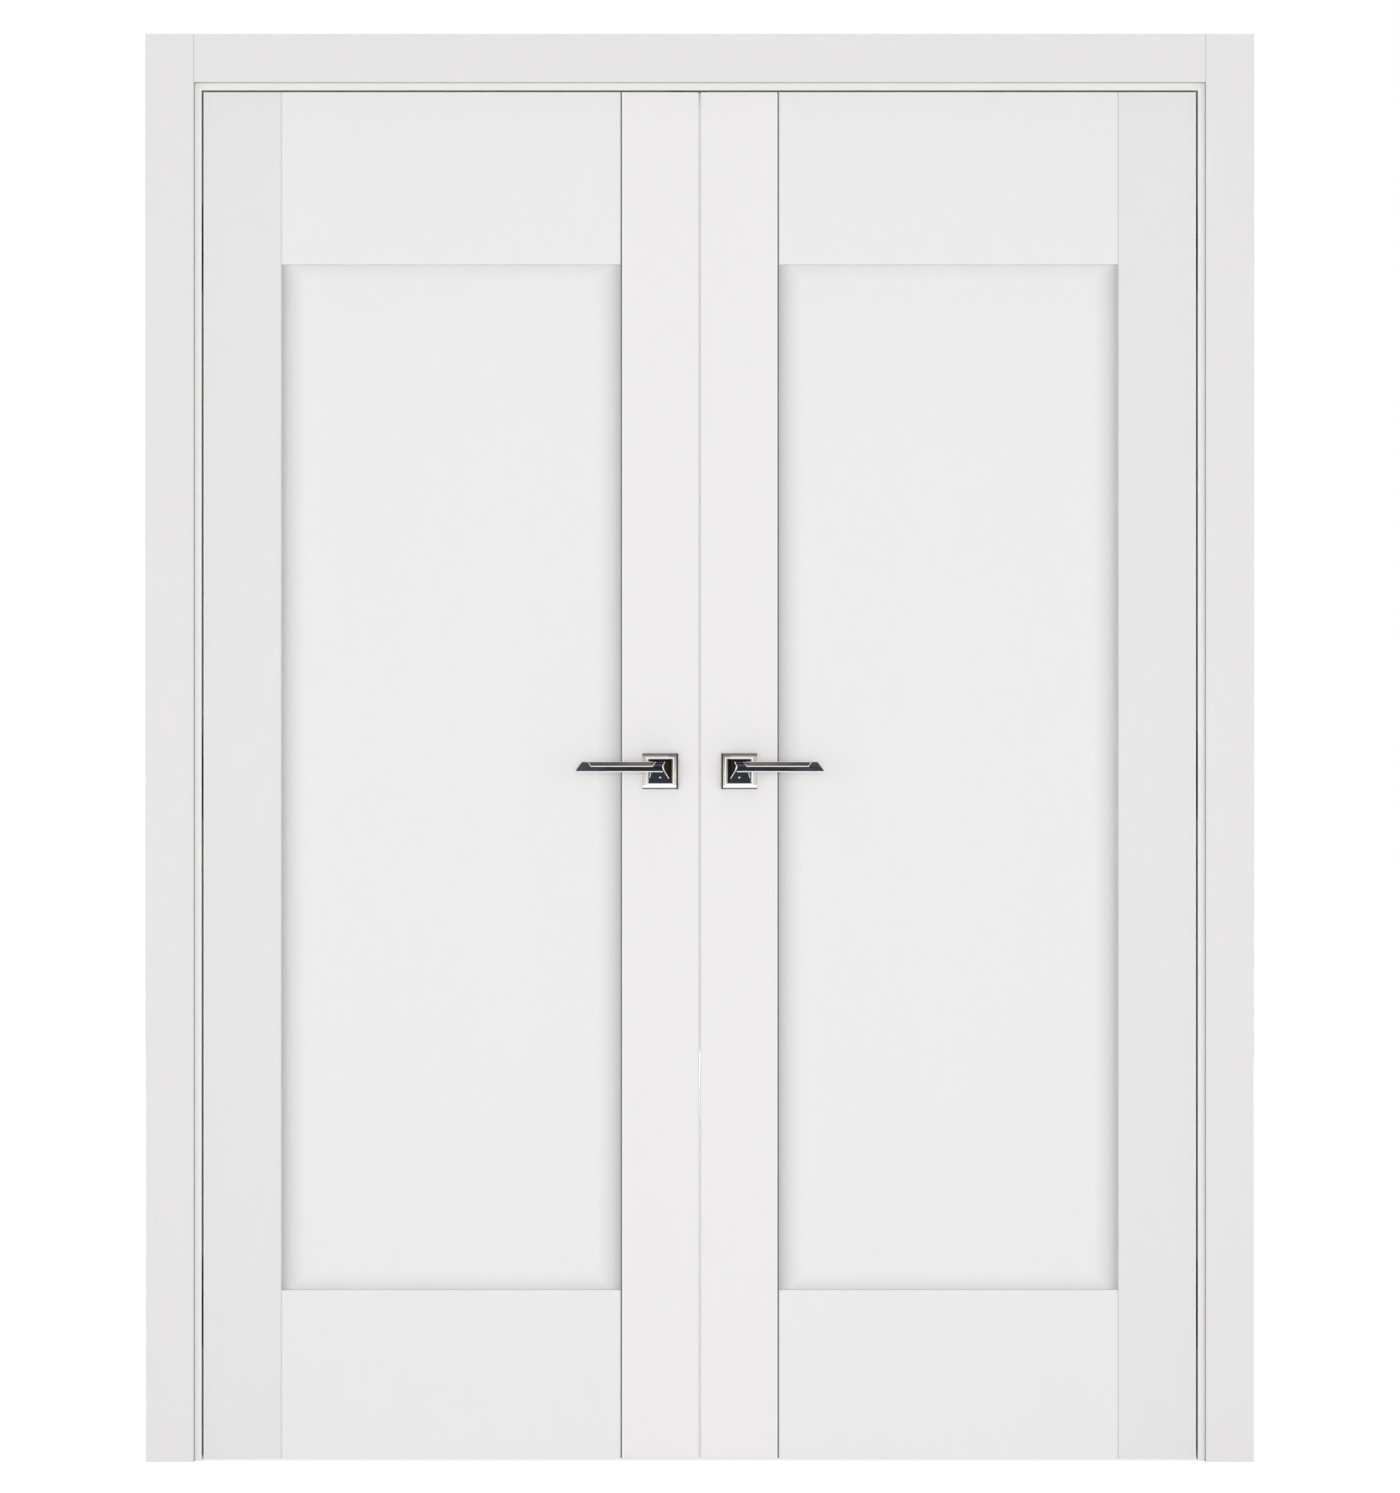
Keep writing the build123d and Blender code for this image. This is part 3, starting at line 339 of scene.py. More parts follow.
@dataclass(frozen=True)
class JointLine:
    """Painted line along a joint or an arris: a band at one distance from the middle of the door, or one
    height.

    It lies only where the distance along Y from the board's middle is over the board's inner half.
    A share below 1 darkens it: a dark joint with painted shade. A share above 1 lightens it: a painted
    highlight on an arris.
    """

    place: float
    half_width: float
    share: float
    across: Across = Across.X
    middle: float = 0.0
    inner_half: float = 0.0


@dataclass(frozen=True)
class RecessShade:
    """Painted shade: the soft shade of a recessed panel, painted into its colour along its four edges.

    Beside an upright edge it is the depth times (1 - distance / reach) to the power, and along the top
    and the foot the same with their own depth and reach. The darker of the two holds.
    """

    inner: float
    outer: float
    low: float
    high: float
    side_depth: float = 0.33
    side_reach: float = 0.038
    end_depth: float = 0.15
    end_reach: float = 0.026
    power: float = 1.6

    def over(self, shader: Shader) -> Amount:
        """How dark the painted shade is at a point.

        Args:
            shader: The panel's nodes.

        Returns:
            The shade, from 0 to 1.
        """
        x, _, z = shader.axes()
        beside = (abs(x) - self.inner).at_most(self.outer - abs(x))
        along = (z - self.low).at_most(self.high - z)
        side = self.side_depth * (1 - (1 / self.side_reach) * beside).at_least(0.0) ** self.power
        end = self.end_depth * (1 - (1 / self.end_reach) * along).at_least(0.0) ** self.power
        return side.at_least(end)


@dataclass(frozen=True)
class Laminate(Finish):
    """Silk-matt laminate with fine ash grain, painted shade and highlight lines, and painted recess
    shade.

    A streak is noise stretched along the grain. A painted line is where the distance along its axis,
    without its sign, is within its half width of its place: a dark joint with painted shade where it
    darkens, and a painted highlight where it lightens.
    """

    swing: float = 0.16
    grain: Grain = Grain.UPRIGHT
    streaks: Noise = Noise((620.0, 620.0, 620.0), 4.0, 0.62)
    pores: Noise = Noise((2400.0, 2400.0, 2400.0), 2.0, 0.5)
    clouds: Noise = Noise((9.0, 9.0, 9.0), 2.0, 0.5)
    pore_stops: Stops = ((0.30, 1.0), (0.44, 0.0))
    streak_stops: Stops = ((0.32, 1.0), (0.68, 0.0))
    cloud_share: float = 0.2
    pore_share: float = 0.2
    contrast: float = 0.035
    relief: float = 0.00003
    pore_relief: float = 0.5
    gloss: float = 0.4
    joints: tuple[JointLine, ...] = ()
    shade: RecessShade | None = None

    def paint(self, shader: Shader) -> None:
        """Makes the laminate's colour with its painted lines and shade, its sheen and its emboss.

        Args:
            shader: The material's nodes.
        """
        streaks, pores, clouds = (shader.noise(noise.stretched(self.grain.value))
                                  for noise in (self.streaks, self.pores, self.clouds))
        pore = shader.ramp(pores, self.pore_stops)
        streak = shader.ramp(streaks.mixed(clouds, self.cloud_share), self.streak_stops)
        dark = streak.mixed(pore, self.pore_share)
        colour = shader.blend(dark, self.colour, self.darker(1 - self.contrast))
        # Lines along joints and arrises: painted shade where a share darkens, painted highlight where it
        # lightens.
        for joint in self.joints:
            axes = shader.axes()
            beside = abs(abs(axes[joint.across.value]) - joint.place) < joint.half_width
            near_face = abs(axes[1] - joint.middle) > joint.inner_half
            colour = shader.blend(beside * near_face, colour, self.darker(joint.share))
        # Painted shade over a panel, darker towards the edges of its recess.
        if self.shade:
            colour = shader.blend(self.shade.over(shader), colour, (0.0, 0.0, 0.0))
        shader.surface({
            "Base Color": colour,
            "Roughness": self.sheen(streaks),
            "Normal": shader.bump(streaks - pore * self.pore_relief, self.relief),
            "Specular IOR Level": self.gloss,
        })


@dataclass(frozen=True)
class BrushedMetal(Finish):
    """Metal with a fine grain: stretched noise gives its brushing, and slow noise its clouding."""

    brush: Point = (300.0, 5200.0, 5200.0)
    clouds: Noise = Noise((70.0, 70.0, 70.0), 2.0, 0.5)
    cloud_share: float = 0.3
    depth: float = 0.000006
    variation: float = 0.12

    def paint(self, shader: Shader) -> None:
        """Makes the metal's colour, gloss and brushing.

        Args:
            shader: The material's nodes.
        """
        lines = shader.noise(Noise(self.brush))
        clouds = shader.noise(self.clouds)
        tone = lines.mixed(clouds, self.cloud_share)
        shader.surface({
            "Base Color": shader.blend(tone, self.colour, self.darker(1 - self.variation)),
            "Metallic": 1.0,
            "Roughness": self.sheen(clouds),
            "Normal": shader.bump(lines, self.depth),
        })


@dataclass(frozen=True)
class RosePlate(Finish):
    """Satin nickel rose with bands of painted shade and painted highlight along its edges.

    A band is where the distance from the spindle, towards the middle of the door, up or down, lies
    between two values. Painted shade lies on the face above the step, along the top, along the foot and
    along the meeting side; painted highlights lie on the step, which is also polished, and on a band
    below it, and the face below the step is painted a little lighter. Painted shade beside the neck on
    the meeting side darkens with the rise: its share is (rise + neck shade start) / neck shade span,
    between 0 and 1.
    """

    swing: float = 0.06
    centre: Point = (0.0, 0.0, 0.0)
    brush: Noise = Noise((700.0, 700.0, 5200.0))
    brush_tone: float = 0.84
    depth: float = 0.000006
    polish: float = 0.12
    dark_edge: float = 0.0237
    top_edge: float = 0.0231
    foot_edge: float = 0.0243
    bright_foot: Span = (0.0205, 0.0243)
    step: Span = (0.0189, 0.0207)
    cloud_side: float = 0.0125
    cloud_start: float = 0.004
    cloud_span: float = 0.022
    cloud_share: float = 0.62
    cloud_tone: float = 0.22
    meeting_dark: Colour = from_screen(78, 79, 74)
    top_dark: Colour = from_screen(112, 108, 107)
    top_slope: Colour = from_screen(178, 174, 170)
    foot_face: Colour = from_screen(222, 218, 213)
    foot_grey: Colour = from_screen(118, 117, 115)
    bright: Colour = from_screen(250, 249, 246)

    def paint(self, shader: Shader) -> None:
        """Makes the rose's bands of painted shade and painted highlight over its brushed face.

        Args:
            shader: The material's nodes.
        """
        x, _, z = shader.axes()
        inward = abs(self.centre[0]) - abs(x)
        rise = z - self.centre[2]
        reach = abs(inward).at_least(abs(rise))
        lines = shader.noise(self.brush)
        # Places of painted light: highlights on the foot band and the step, painted shade beside the
        # neck.
        foot = (rise < -self.bright_foot[0]) * (rise > -self.bright_foot[1])
        step = (reach > self.step[0]) * (reach < self.step[1])
        height = ((rise + self.cloud_start) * (1 / self.cloud_span)).at_least(0.0).at_most(1.0)
        neck_shade = (inward > self.cloud_side) * height * self.cloud_share
        # Bands of painted light: shade above the step, beside the neck, along the foot, the top and the
        # meeting side; highlights on the step and the foot band; a lighter face below the step.
        bands = [(rise < -self.step[1], self.foot_face), (rise > self.step[1], self.top_slope),
                 (neck_shade, self.darker(self.cloud_tone)), (step, self.bright), (foot, self.bright),
                 (rise < -self.foot_edge, self.foot_grey), (rise > self.top_edge, self.top_dark),
                 (inward > self.dark_edge, self.meeting_dark)]
        colour = shader.blend(lines, self.colour, self.darker(self.brush_tone))
        for band, tone in bands:
            colour = shader.blend(band, colour, tone)
        shader.surface({
            "Base Color": colour,
            "Metallic": 1.0,
            "Roughness": self.sheen(lines) - step * (self.roughness - self.polish),
            "Normal": shader.bump(lines, self.depth),
        })


@dataclass(frozen=True)
class DarkChrome(Finish):
    """Polished chrome with painted reflection: nearly black when seen square on, with slow cool and warm
    drifts along it.

    The tone runs from the finish's colour to its tip tone with the distance from the middle of the door.
    Facets that face mostly up or down, and those that face mostly sideways, each have their own lighter
    tone of painted reflection.
    """

    swing: float = 0.08
    clouds: Noise = Noise((45.0, 120.0, 120.0), 3.0, 0.55)
    hairs: Noise = Noise((160.0, 5200.0, 5200.0), 2.0, 0.5)
    cloud_stops: Stops = ((0.35, 0.0), (0.65, 1.0))
    cloud_share: float = 0.55
    cloud_tone: float = 0.35
    depth: float = 0.000002
    tip_tone: Colour = from_screen(74, 72, 82)
    level_tone: Colour = from_screen(84, 87, 93)
    side_tone: Colour = from_screen(128, 126, 122)
    facing: float = 0.8
    drift: Span = (0.105, 0.185)
    edge_tint: Colour = (0.06, 0.06, 0.065)

    def paint(self, shader: Shader) -> None:
        """Makes the metal's painted reflection, with its drifting tone, polish and fine hairlines.

        Args:
            shader: The material's nodes.
        """
        x, _, _ = shader.axes()
        sideways, _, upright = shader.facing()
        start, end = self.drift
        along = ((abs(x) - start) * (1 / (end - start))).at_least(0.0).at_most(1.0)
        clouds = shader.noise(self.clouds)
        patches = shader.ramp(clouds, self.cloud_stops) * self.cloud_share
        tone = shader.blend(along, self.colour, self.tip_tone)
        tone = shader.blend(patches, tone, self.darker(self.cloud_tone))
        # Painted reflection: lighter tones on facets that face up, down or sideways.
        tone = shader.blend(abs(upright) > self.facing, tone, self.level_tone)
        shader.surface({
            "Base Color": shader.blend(abs(sideways) > self.facing, tone, self.side_tone),
            "Metallic": 1.0,
            "Roughness": self.sheen(clouds),
            "Specular Tint": self.edge_tint,
            "Normal": shader.bump(shader.noise(self.hairs), self.depth),
        })


@dataclass(frozen=True)
class InlayMetal(Finish):
    """Satin inlay, its dark colour a painted reflection, with a bright, polished border of painted
    highlight along its lower edge and both ends.

    The piece's UV map holds the way along it and the way up it, in metres, from its lower outer corner.
    """

    swing: float = 0.08
    length: float = 0.1
    border: float = 0.0013
    end_border: float = 0.0011
    brush: Noise = Noise((90.0, 7000.0, 7000.0))
    clouds: Noise = Noise((55.0, 55.0, 55.0), 2.0, 0.5)
    drift_share: float = 0.5
    drift_stops: Stops = ((0.2, 1.0), (0.75, 0.0))
    line_share: float = 0.5
    line_tone: float = 0.6
    polish: float = 0.16
    depth: float = 0.000005
    edge_tint: Colour = (0.35, 0.33, 0.31)
    pale: Colour = from_screen(146, 137, 130)
    bright: Colour = from_screen(246, 243, 240)

    def paint(self, shader: Shader) -> None:
        """Makes the inlay's brushing, its drift from dark to pale and its border of painted highlight.

        Args:
            shader: The material's nodes.
        """
        along, up, _ = shader.parts(shader.node("ShaderNodeUVMap").outputs[0])
        border = (up < self.border).at_least(along < self.end_border).at_least(
            along > self.length - self.end_border)
        lines = shader.noise(self.brush)
        clouds = shader.noise(self.clouds)
        drift = shader.ramp(clouds.mixed(along * (1 / self.length), self.drift_share), self.drift_stops)
        satin = shader.blend(drift, self.colour, self.pale)
        brushed = shader.blend(lines * self.line_share, satin, self.darker(self.line_tone))
        shader.surface({
            # The bright border is a painted highlight.
            "Base Color": shader.blend(border, brushed, self.bright),
            "Metallic": 1.0,
            "Roughness": self.sheen(lines) - border * (self.roughness - self.polish),
            "Specular Tint": self.edge_tint,
            "Normal": shader.bump(lines, self.depth),
        })


@dataclass(frozen=True)
class Rubber(Finish):
    """Soft seal: a matt skin with a faint pebble."""

    swing: float = 0.12
    pebble: Noise = Noise((900.0, 900.0, 900.0))
    pebble_tone: float = 0.9
    depth: float = 0.00004

    def paint(self, shader: Shader) -> None:
        """Makes the seal's skin.

        Args:
            shader: The material's nodes.
        """
        pebble = shader.noise(self.pebble)
        shader.surface({
            "Base Color": shader.blend(pebble, self.colour, self.darker(self.pebble_tone)),
            "Roughness": self.sheen(pebble),
            "Normal": shader.bump(pebble, self.depth),
        })


@dataclass(frozen=True)
class Beech(Finish):
    """Beech dowel: short dark flecks along the grain."""

    flecks: Noise = Noise((60.0, 1400.0, 1400.0))
    fleck_stops: Stops = ((0.36, 1.0), (0.5, 0.0))
    wave: Noise = Noise((14.0, 260.0, 260.0), 3.0, 0.5)
    wave_share: float = 0.4
    dark: float = 0.62
    depth: float = 0.00005

    def paint(self, shader: Shader) -> None:
        """Makes the wood's flecks.

        Args:
            shader: The material's nodes.
        """
        fleck = shader.ramp(shader.noise(self.flecks), self.fleck_stops)
        wave = shader.noise(self.wave)
        figure = fleck.mixed(wave, self.wave_share)
        shader.surface({
            "Base Color": shader.blend(figure, self.colour, self.darker(self.dark)),
            "Roughness": self.sheen(wave),
            "Normal": shader.bump(fleck, self.depth),
        })


@dataclass(frozen=True)
class Spangle(Finish):
    """Galvanised steel: cells of zinc crystal, each with its own grey."""

    swing: float = 0.2
    cells: float = 190.0
    dark: float = 0.7

    def paint(self, shader: Shader) -> None:
        """Makes the zinc's cells.

        Args:
            shader: The material's nodes.
        """
        inputs = {"Vector": shader.place(), "Scale": self.cells}
        cells = shader.node("ShaderNodeTexVoronoi", inputs=inputs)
        grey, _, _ = shader.parts(cells.outputs["Color"])
        shader.surface({
            "Base Color": shader.blend(grey, self.colour, self.darker(self.dark)),
            "Metallic": 1.0,
            "Roughness": self.sheen(grey),
        })


# The whites of the casings, rails and panels step lighter towards the middle of the door: a painted
# fall-off of light.
CASING_TONE = from_screen(232, 230, 231)
# The side jambs' white is painted lighter than the head jamb's: lit and shaded copies of one laminate.
JAMB_WHITE = Laminate("jamb_laminate", from_screen(248, 247, 244), 0.40)
HEAD_JAMB_WHITE = Laminate("head_jamb_laminate", from_screen(240, 239, 235), 0.40, grain=Grain.LEVEL)
RAIL_WHITE = Laminate("rail_laminate", from_screen(237, 236, 236), 0.42)
PANEL_TONE = from_screen(238, 237, 238)
ALL_ROUND = (900.0, 900.0, 900.0)
SATIN_NICKEL = BrushedMetal("brushed_satin_nickel", from_screen(218, 214, 209), 0.34)
# Chrome of the levers, its dark colour a painted reflection.
CHROME_PAINTED_REFLECTION = DarkChrome("polished_dark_chrome", from_screen(44, 45, 51), 0.12)
# Bright nickel of the grub screws, also the painted highlights along the levers' edges.
BRIGHT_NICKEL_AND_HIGHLIGHT = BrushedMetal("bright_cut_nickel", from_screen(232, 232, 235), 0.16, variation=0.06)
HINGE_ZINC = BrushedMetal("hinge_zinc", from_screen(196, 196, 193), 0.36, brush=(2600.0, 2600.0, 300.0))
SCREW_ZINC = BrushedMetal("screw_zinc", from_screen(206, 206, 202), 0.28, brush=ALL_ROUND)
# Painted shade for the screws' cross recesses.
RECESS_PAINTED_SHADE = BrushedMetal("screw_recess", from_screen(70, 70, 70), 0.5, brush=ALL_ROUND)
CASE_STEEL = Spangle("spangled_steel", from_screen(190, 193, 195), 0.42)
MAGNET_GREY = BrushedMetal("magnet_nickel", from_screen(176, 176, 178), 0.24, brush=(500.0, 500.0, 500.0))
SEAL_WHITE = Rubber("seal_rubber", from_screen(228, 226, 227), 0.72)
BOLT_NYLON = Rubber("bolt_nylon", from_screen(38, 38, 40), 0.42)
DOWEL_BEECH = Beech("dowel_beech", from_screen(206, 168, 122), 0.65)


def add(name: str, data: bpy.types.ID) -> bpy.types.Object:
    """Puts an object into the scene.

    Args:
        name: Its name.
        data: Its mesh, lamp or camera.

    Returns:
        The object.
    """
    made = bpy.data.objects.new(name, data)
    bpy.context.scene.collection.objects.link(made)
    return made


def put_on(finish: Finish, *nodes: str) -> None:
    """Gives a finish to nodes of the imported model.

    Args:
        finish: The finish.
        nodes: The nodes' names.
    """
    material = finish.material()
    for name in nodes:
        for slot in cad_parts[name].material_slots:
            slot.material = material
        LOG.info("%s wears %s", name, finish.name)


def new_piece(name: str, points: np.ndarray, faces: Faces, finish: Finish, body: str,
              slot: str) -> bpy.types.Object:
    """Makes a piece from its points and faces, finishes it and lets it ride on a body.

    Args:
        name: The piece's name.
        points: Its points, one row each.
        faces: Its faces, each a ring of points seen from outside.
        finish: What it wears.
        body: The body that carries it.
        slot: The record's material slot; not used.

    Returns:
        The piece.
    """
    mesh = bpy.data.meshes.new(name)
    mesh.from_pydata(points.tolist(), [], faces)
    mesh.validate()
    mesh.materials.append(finish.material())
    piece = add(name, mesh)
    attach(piece, body)
    LOG.info("%s: %d faces on %s", name, len(mesh.polygons), body)
    return piece


def grid(*parts: np.ndarray) -> np.ndarray:
    """Points from their X, Y and Z, or other parts, spread over one grid."""
    return np.dstack(np.broadcast_arrays(*parts))


def tube_faces(stations: int, ring: int, flip: bool) -> Faces:
    """Faces of a closed profile carried over stations, with a cap at each end.

    The quads join point (i, j) of the grid to (i, j + 1), (i + 1, j + 1) and (i + 1, j), with j round
    the ring, and the caps are the first and last rings.

    Args:
        stations: How many stations the grid has.
        ring: How many points a station has.
        flip: Whether the faces run the other way round, as on a mirrored piece.

    Returns:
        The faces as rings of point numbers.
    """
    i, j = np.meshgrid(np.arange(stations - 1), np.arange(ring), indexing="ij")
    after = (j + 1) % ring
    quads = np.stack([i * ring + j, i * ring + after, (i + 1) * ring + after, (i + 1) * ring + j], -1)
    caps = [np.arange(ring)[::-1], np.arange(ring) + (stations - 1) * ring]
    faces = [*quads.reshape(-1, 4).tolist(), *(cap.tolist() for cap in caps)]
    return [face[::-1] for face in faces] if flip else faces


def joined(points: list[np.ndarray], faces: list[Faces]) -> tuple[np.ndarray, Faces]:
    """Puts several solids into one piece.

    Args:
        points: Each solid's points.
        faces: Each solid's faces, numbered by its own points.

    Returns:
        All the points, and all the faces numbered by them.
    """
    firsts = np.cumsum([0, *(len(solid) for solid in points)])
    rings = [[int(first) + number for number in ring]
             for first, solid in zip(firsts, faces) for ring in solid]
    return np.concatenate(points), rings


@dataclass
class LeverSet:
    """One leaf's two levers and roses: finishes, satin inlays and painted highlights along the levers'
    edges.

    Points of a lever are given beside its spindle: outward along the bar, proud of the leaf's face, up.
    """

    side: Side
    ridge_rise: float = 0.0076
    bar_top: float = 0.014
    bar_top_setback: float = 0.042
    bottom_setback: float = 0.0462
    neck_front: float = 0.046
    neck_foot: float = 0.0096
    neck_half_width: float = 0.0175
    neck_half_height: float = 0.018
    neck_inner: float = -0.0055
    neck_outer: float = 0.013
    neck_rise: float = 0.0016
    inlay_start: float = 0.0102
    inlay_end: float = 0.1075
    inlay_slant: float = 0.45
    inlay_margin: float = 0.0006
    inlay_height: float = 0.00045
    inlay_foot: float = 0.2
    inlay_stations: int = 25
    # Half widths, section and reach of the painted highlights along the lever's edges.
    fine_cut: float = 0.0003
    ridge_cut: float = 0.0007
    heel_cut: float = 0.001
    bottom_cut: float = 0.001
    cut_flatness: float = 0.5
    cut_sides: int = 6
    inner_cut_end: float = 0.62
    outer_cut: Span = (0.16, 0.55)
    bottom_margin: float = 0.0012
    top_margin: float = 0.0105

    def __post_init__(self) -> None:
        """Reads the places of the spindle and the lever from the frame."""
        low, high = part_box(f"{self.side.word}_spindle")
        self.axis_x = (low.x + high.x) / 2
        self.axis_z = (low.z + high.z) / 2
        lever_low, lever_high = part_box(f"{self.side.word}_front_lever")
        stile_low, stile_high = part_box(f"{self.side.word}_meeting_stile")
        self.leaf = {Face.FRONT: stile_low.y, Face.BACK: stile_high.y}
        self.ridge_setback = stile_low.y - lever_low.y
        self.tip = max(abs(lever_low.x), abs(lever_high.x)) - abs(self.axis_x)

    def placed(self, local: np.ndarray, face: Face) -> np.ndarray:
        """Points of a lever in the model's frame, from the spindle and the leaf's face.

        Args:
            local: Points as outward, proud and up.
            face: The face of the door.

        Returns:
            The points as X, Y and Z.
        """
        outward, proud, rise = np.moveaxis(local, -1, 0)
        return np.stack([self.axis_x + self.side.value * outward, self.leaf[face] + face.value * proud,
                         self.axis_z + rise], -1)

    def flipped(self, face: Face) -> bool:
        """Whether a mirrored lever turns its faces round."""
        return self.side.value * face.value > 0

    def inlay(self, face: Face) -> None:
        """Satin plate on the bar's upper facet.

        Its section lies across the facet: a flat plate with both long edges cut at 45 degrees. A point
        is the ridge, plus s along the slope, plus h out of it. Its ends lean: outward grows by the slant
        times s.

        Args:
            face: The face of the door.
        """
        ridge = np.array([self.ridge_setback, self.ridge_rise])
        slope = np.array([self.bar_top_setback, self.bar_top]) - ridge
        width = math.hypot(*slope)
        along = slope / width
        out = np.array([along[1], -along[0]])
        low, high, top = self.inlay_margin, width - self.inlay_margin, self.inlay_height
        foot = self.inlay_foot * top
        across, height = np.array([(low, -top), (low, foot), (low + top, top), (high - top, top),
                                   (high, foot), (high, -top)]).T
        flat = ridge + np.outer(across, along) + np.outer(height, out)
        starts = self.inlay_start - self.inlay_slant * across
        ends = self.inlay_end + self.inlay_slant * (across - width)
        share = np.linspace(0, 1, self.inlay_stations)[:, None]
        local = grid(starts * (1 - share) + ends * share, *flat.T)
        points = self.placed(local, face).reshape(-1, 3)
        length = self.inlay_end - self.inlay_start
        # Satin nickel with its dark colour a painted reflection.
        finish = InlayMetal("inlay_nickel", from_screen(96, 91, 84), 0.32, length=length)
        piece = new_piece(f"{self.side.word}_{face.word}_lever_inlay", points,
                          tube_faces(len(share), len(across), not self.flipped(face)), finish,
                          f"{self.side.word}_lever_set", "satin_nickel")
        place = grid(share * length, width - across).reshape(-1, 2)
        corners = np.empty(len(piece.data.loops), np.int32)
        piece.data.loops.foreach_get("vertex_index", corners)
        layer = piece.data.uv_layers.new(name="inlay")
        layer.data.foreach_set("uv", place[corners].astype(np.float32).ravel())

    @staticmethod
    def on(line: Span, outward: float) -> np.ndarray:
        """The point at a way outward on a line along the bar, which is given as proud and up."""
        return np.array([outward, *line])

    def edges(self) -> list[tuple[np.ndarray, np.ndarray, float]]:
        """The lever's edges that carry painted highlights.

        A corner between bar and neck lies on the neck's slope: its way outward is the neck's inner edge
        plus the slope's run times how far it is proud of the neck's front.

        Returns:
            Each edge's two ends beside the spindle, and half its width.
        """
        ridge, top = (self.ridge_setback, self.ridge_rise), (self.bar_top_setback, self.bar_top)
        bottom = (self.bottom_setback, 0.0)
        run = (self.neck_half_width + self.neck_inner) / (self.neck_front - self.neck_foot)
        heel, back = (self.neck_inner + run * (line[0] - self.neck_front) for line in (ridge, top))
        inner, outer = (self.on((self.neck_front, self.neck_rise), way)
                        for way in (self.neck_inner, self.neck_outer))
        foot = self.on((self.neck_foot, -self.neck_half_height), self.neck_half_width)
        inner_fall, outer_fall = foot * (-1, 1, 1) - inner, foot - outer
        drop = self.inlay_slant * math.dist(ridge, top)
        return [
            (self.on(top, back), self.on(ridge, heel), self.ridge_cut),
            (self.on(ridge, heel), inner, self.heel_cut),
            (inner, inner + self.inner_cut_end * inner_fall, self.ridge_cut),
            (*(outer + share * outer_fall for share in self.outer_cut), self.ridge_cut),
            (self.on(bottom, heel), self.on(bottom, self.tip - self.bottom_margin), self.bottom_cut),
            (self.on(ridge, self.inlay_start), self.on(ridge, self.inlay_end - drop), self.ridge_cut),
            (self.on(top, self.inlay_start), self.on(top, self.tip - self.top_margin), self.fine_cut),
        ]

    def cut_edges(self, face: Face) -> None:
        """Painted highlights: bright strips along the lever's edges, joined into one piece.

        Each is a slim six-sided bar that lies over its edge: a point is the edge's own point plus the
        section's two sides, one square to the edge and level, one square to both.

        Args:
            face: The face of the door.
        """
        angles = np.arange(self.cut_sides) * math.tau / self.cut_sides
        points, faces = [], []
        for start, end, half in self.edges():
            way = (end - start) / np.linalg.norm(end - start)
            level = np.cross(way, (0.0, 1.0, 0.0))
            level = level / np.linalg.norm(level)
            other = np.cross(level, way)
            wide, thin = np.outer(np.cos(angles), level), np.outer(np.sin(angles), other)
            ring = half * (wide + self.cut_flatness * thin)
            points.append(self.placed(np.stack([start, end])[:, None, :] + ring, face).reshape(-1, 3))
            faces.append(tube_faces(2, len(angles), self.flipped(face)))
        new_piece(f"{self.side.word}_{face.word}_lever_edges", *joined(points, faces), BRIGHT_NICKEL_AND_HIGHLIGHT,
                  f"{self.side.word}_lever_set", "polished_dark_nickel")

    def dress(self) -> None:
        """Finishes the set's nodes and adds its inlays and its painted highlights along the edges."""
        word = self.side.word
        rose = RosePlate(f"{word}_rose_nickel", from_screen(214, 210, 205), 0.30,
                         centre=(self.axis_x, 0.0, self.axis_z))
        for face in Face:
            put_on(CHROME_PAINTED_REFLECTION, f"{word}_{face.word}_lever")
            put_on(rose, f"{word}_{face.word}_rose")
            self.inlay(face)
            self.cut_edges(face)
        put_on(HINGE_ZINC, f"{word}_spindle")
        put_on(BRIGHT_NICKEL_AND_HIGHLIGHT, f"{word}_grub_screws")


@dataclass
class DoorFrame:
    """Jambs, casings, stop seal and the fixings that stay with the frame."""

    side_line: float = 0.0004
    head_line: float = 0.0009
    side_share: float = 0.35
    head_share: float = 0.68

    def dress(self) -> None:
        """Finishes the frame's nodes, with a dark line along the inner edge of each casing: its joint
        with the jamb, with painted shade.
        """
        put_on(JAMB_WHITE, "left_jamb", "right_jamb")
        put_on(HEAD_JAMB_WHITE, "head_jamb")
        put_on(SEAL_WHITE, "stop_gasket")
        for face in Face:
            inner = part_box(f"right_{face.word}_casing")[0].x
            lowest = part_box(f"head_{face.word}_casing")[0].z
            # Dark lines at the casings' inner edges: the joint with the jamb, with painted shade.
            edge = JointLine(inner, self.side_line, self.side_share)
            head_shade_line = JointLine(lowest, self.head_line, self.head_share, Across.Z)
            upright = Laminate(f"{face.word}_casing_laminate", CASING_TONE, 0.42, joints=(edge,))
            level = Laminate(f"{face.word}_head_casing_laminate", CASING_TONE, 0.42, grain=Grain.LEVEL,
                             joints=(head_shade_line,))
            put_on(upright, *(f"{side.word}_{face.word}_casing" for side in Side))
            put_on(level, f"head_{face.word}_casing")
        put_on(SATIN_NICKEL, "head_bolt_strike")
        put_on(SCREW_ZINC, "frame_screws", "jamb_hinge_screws")


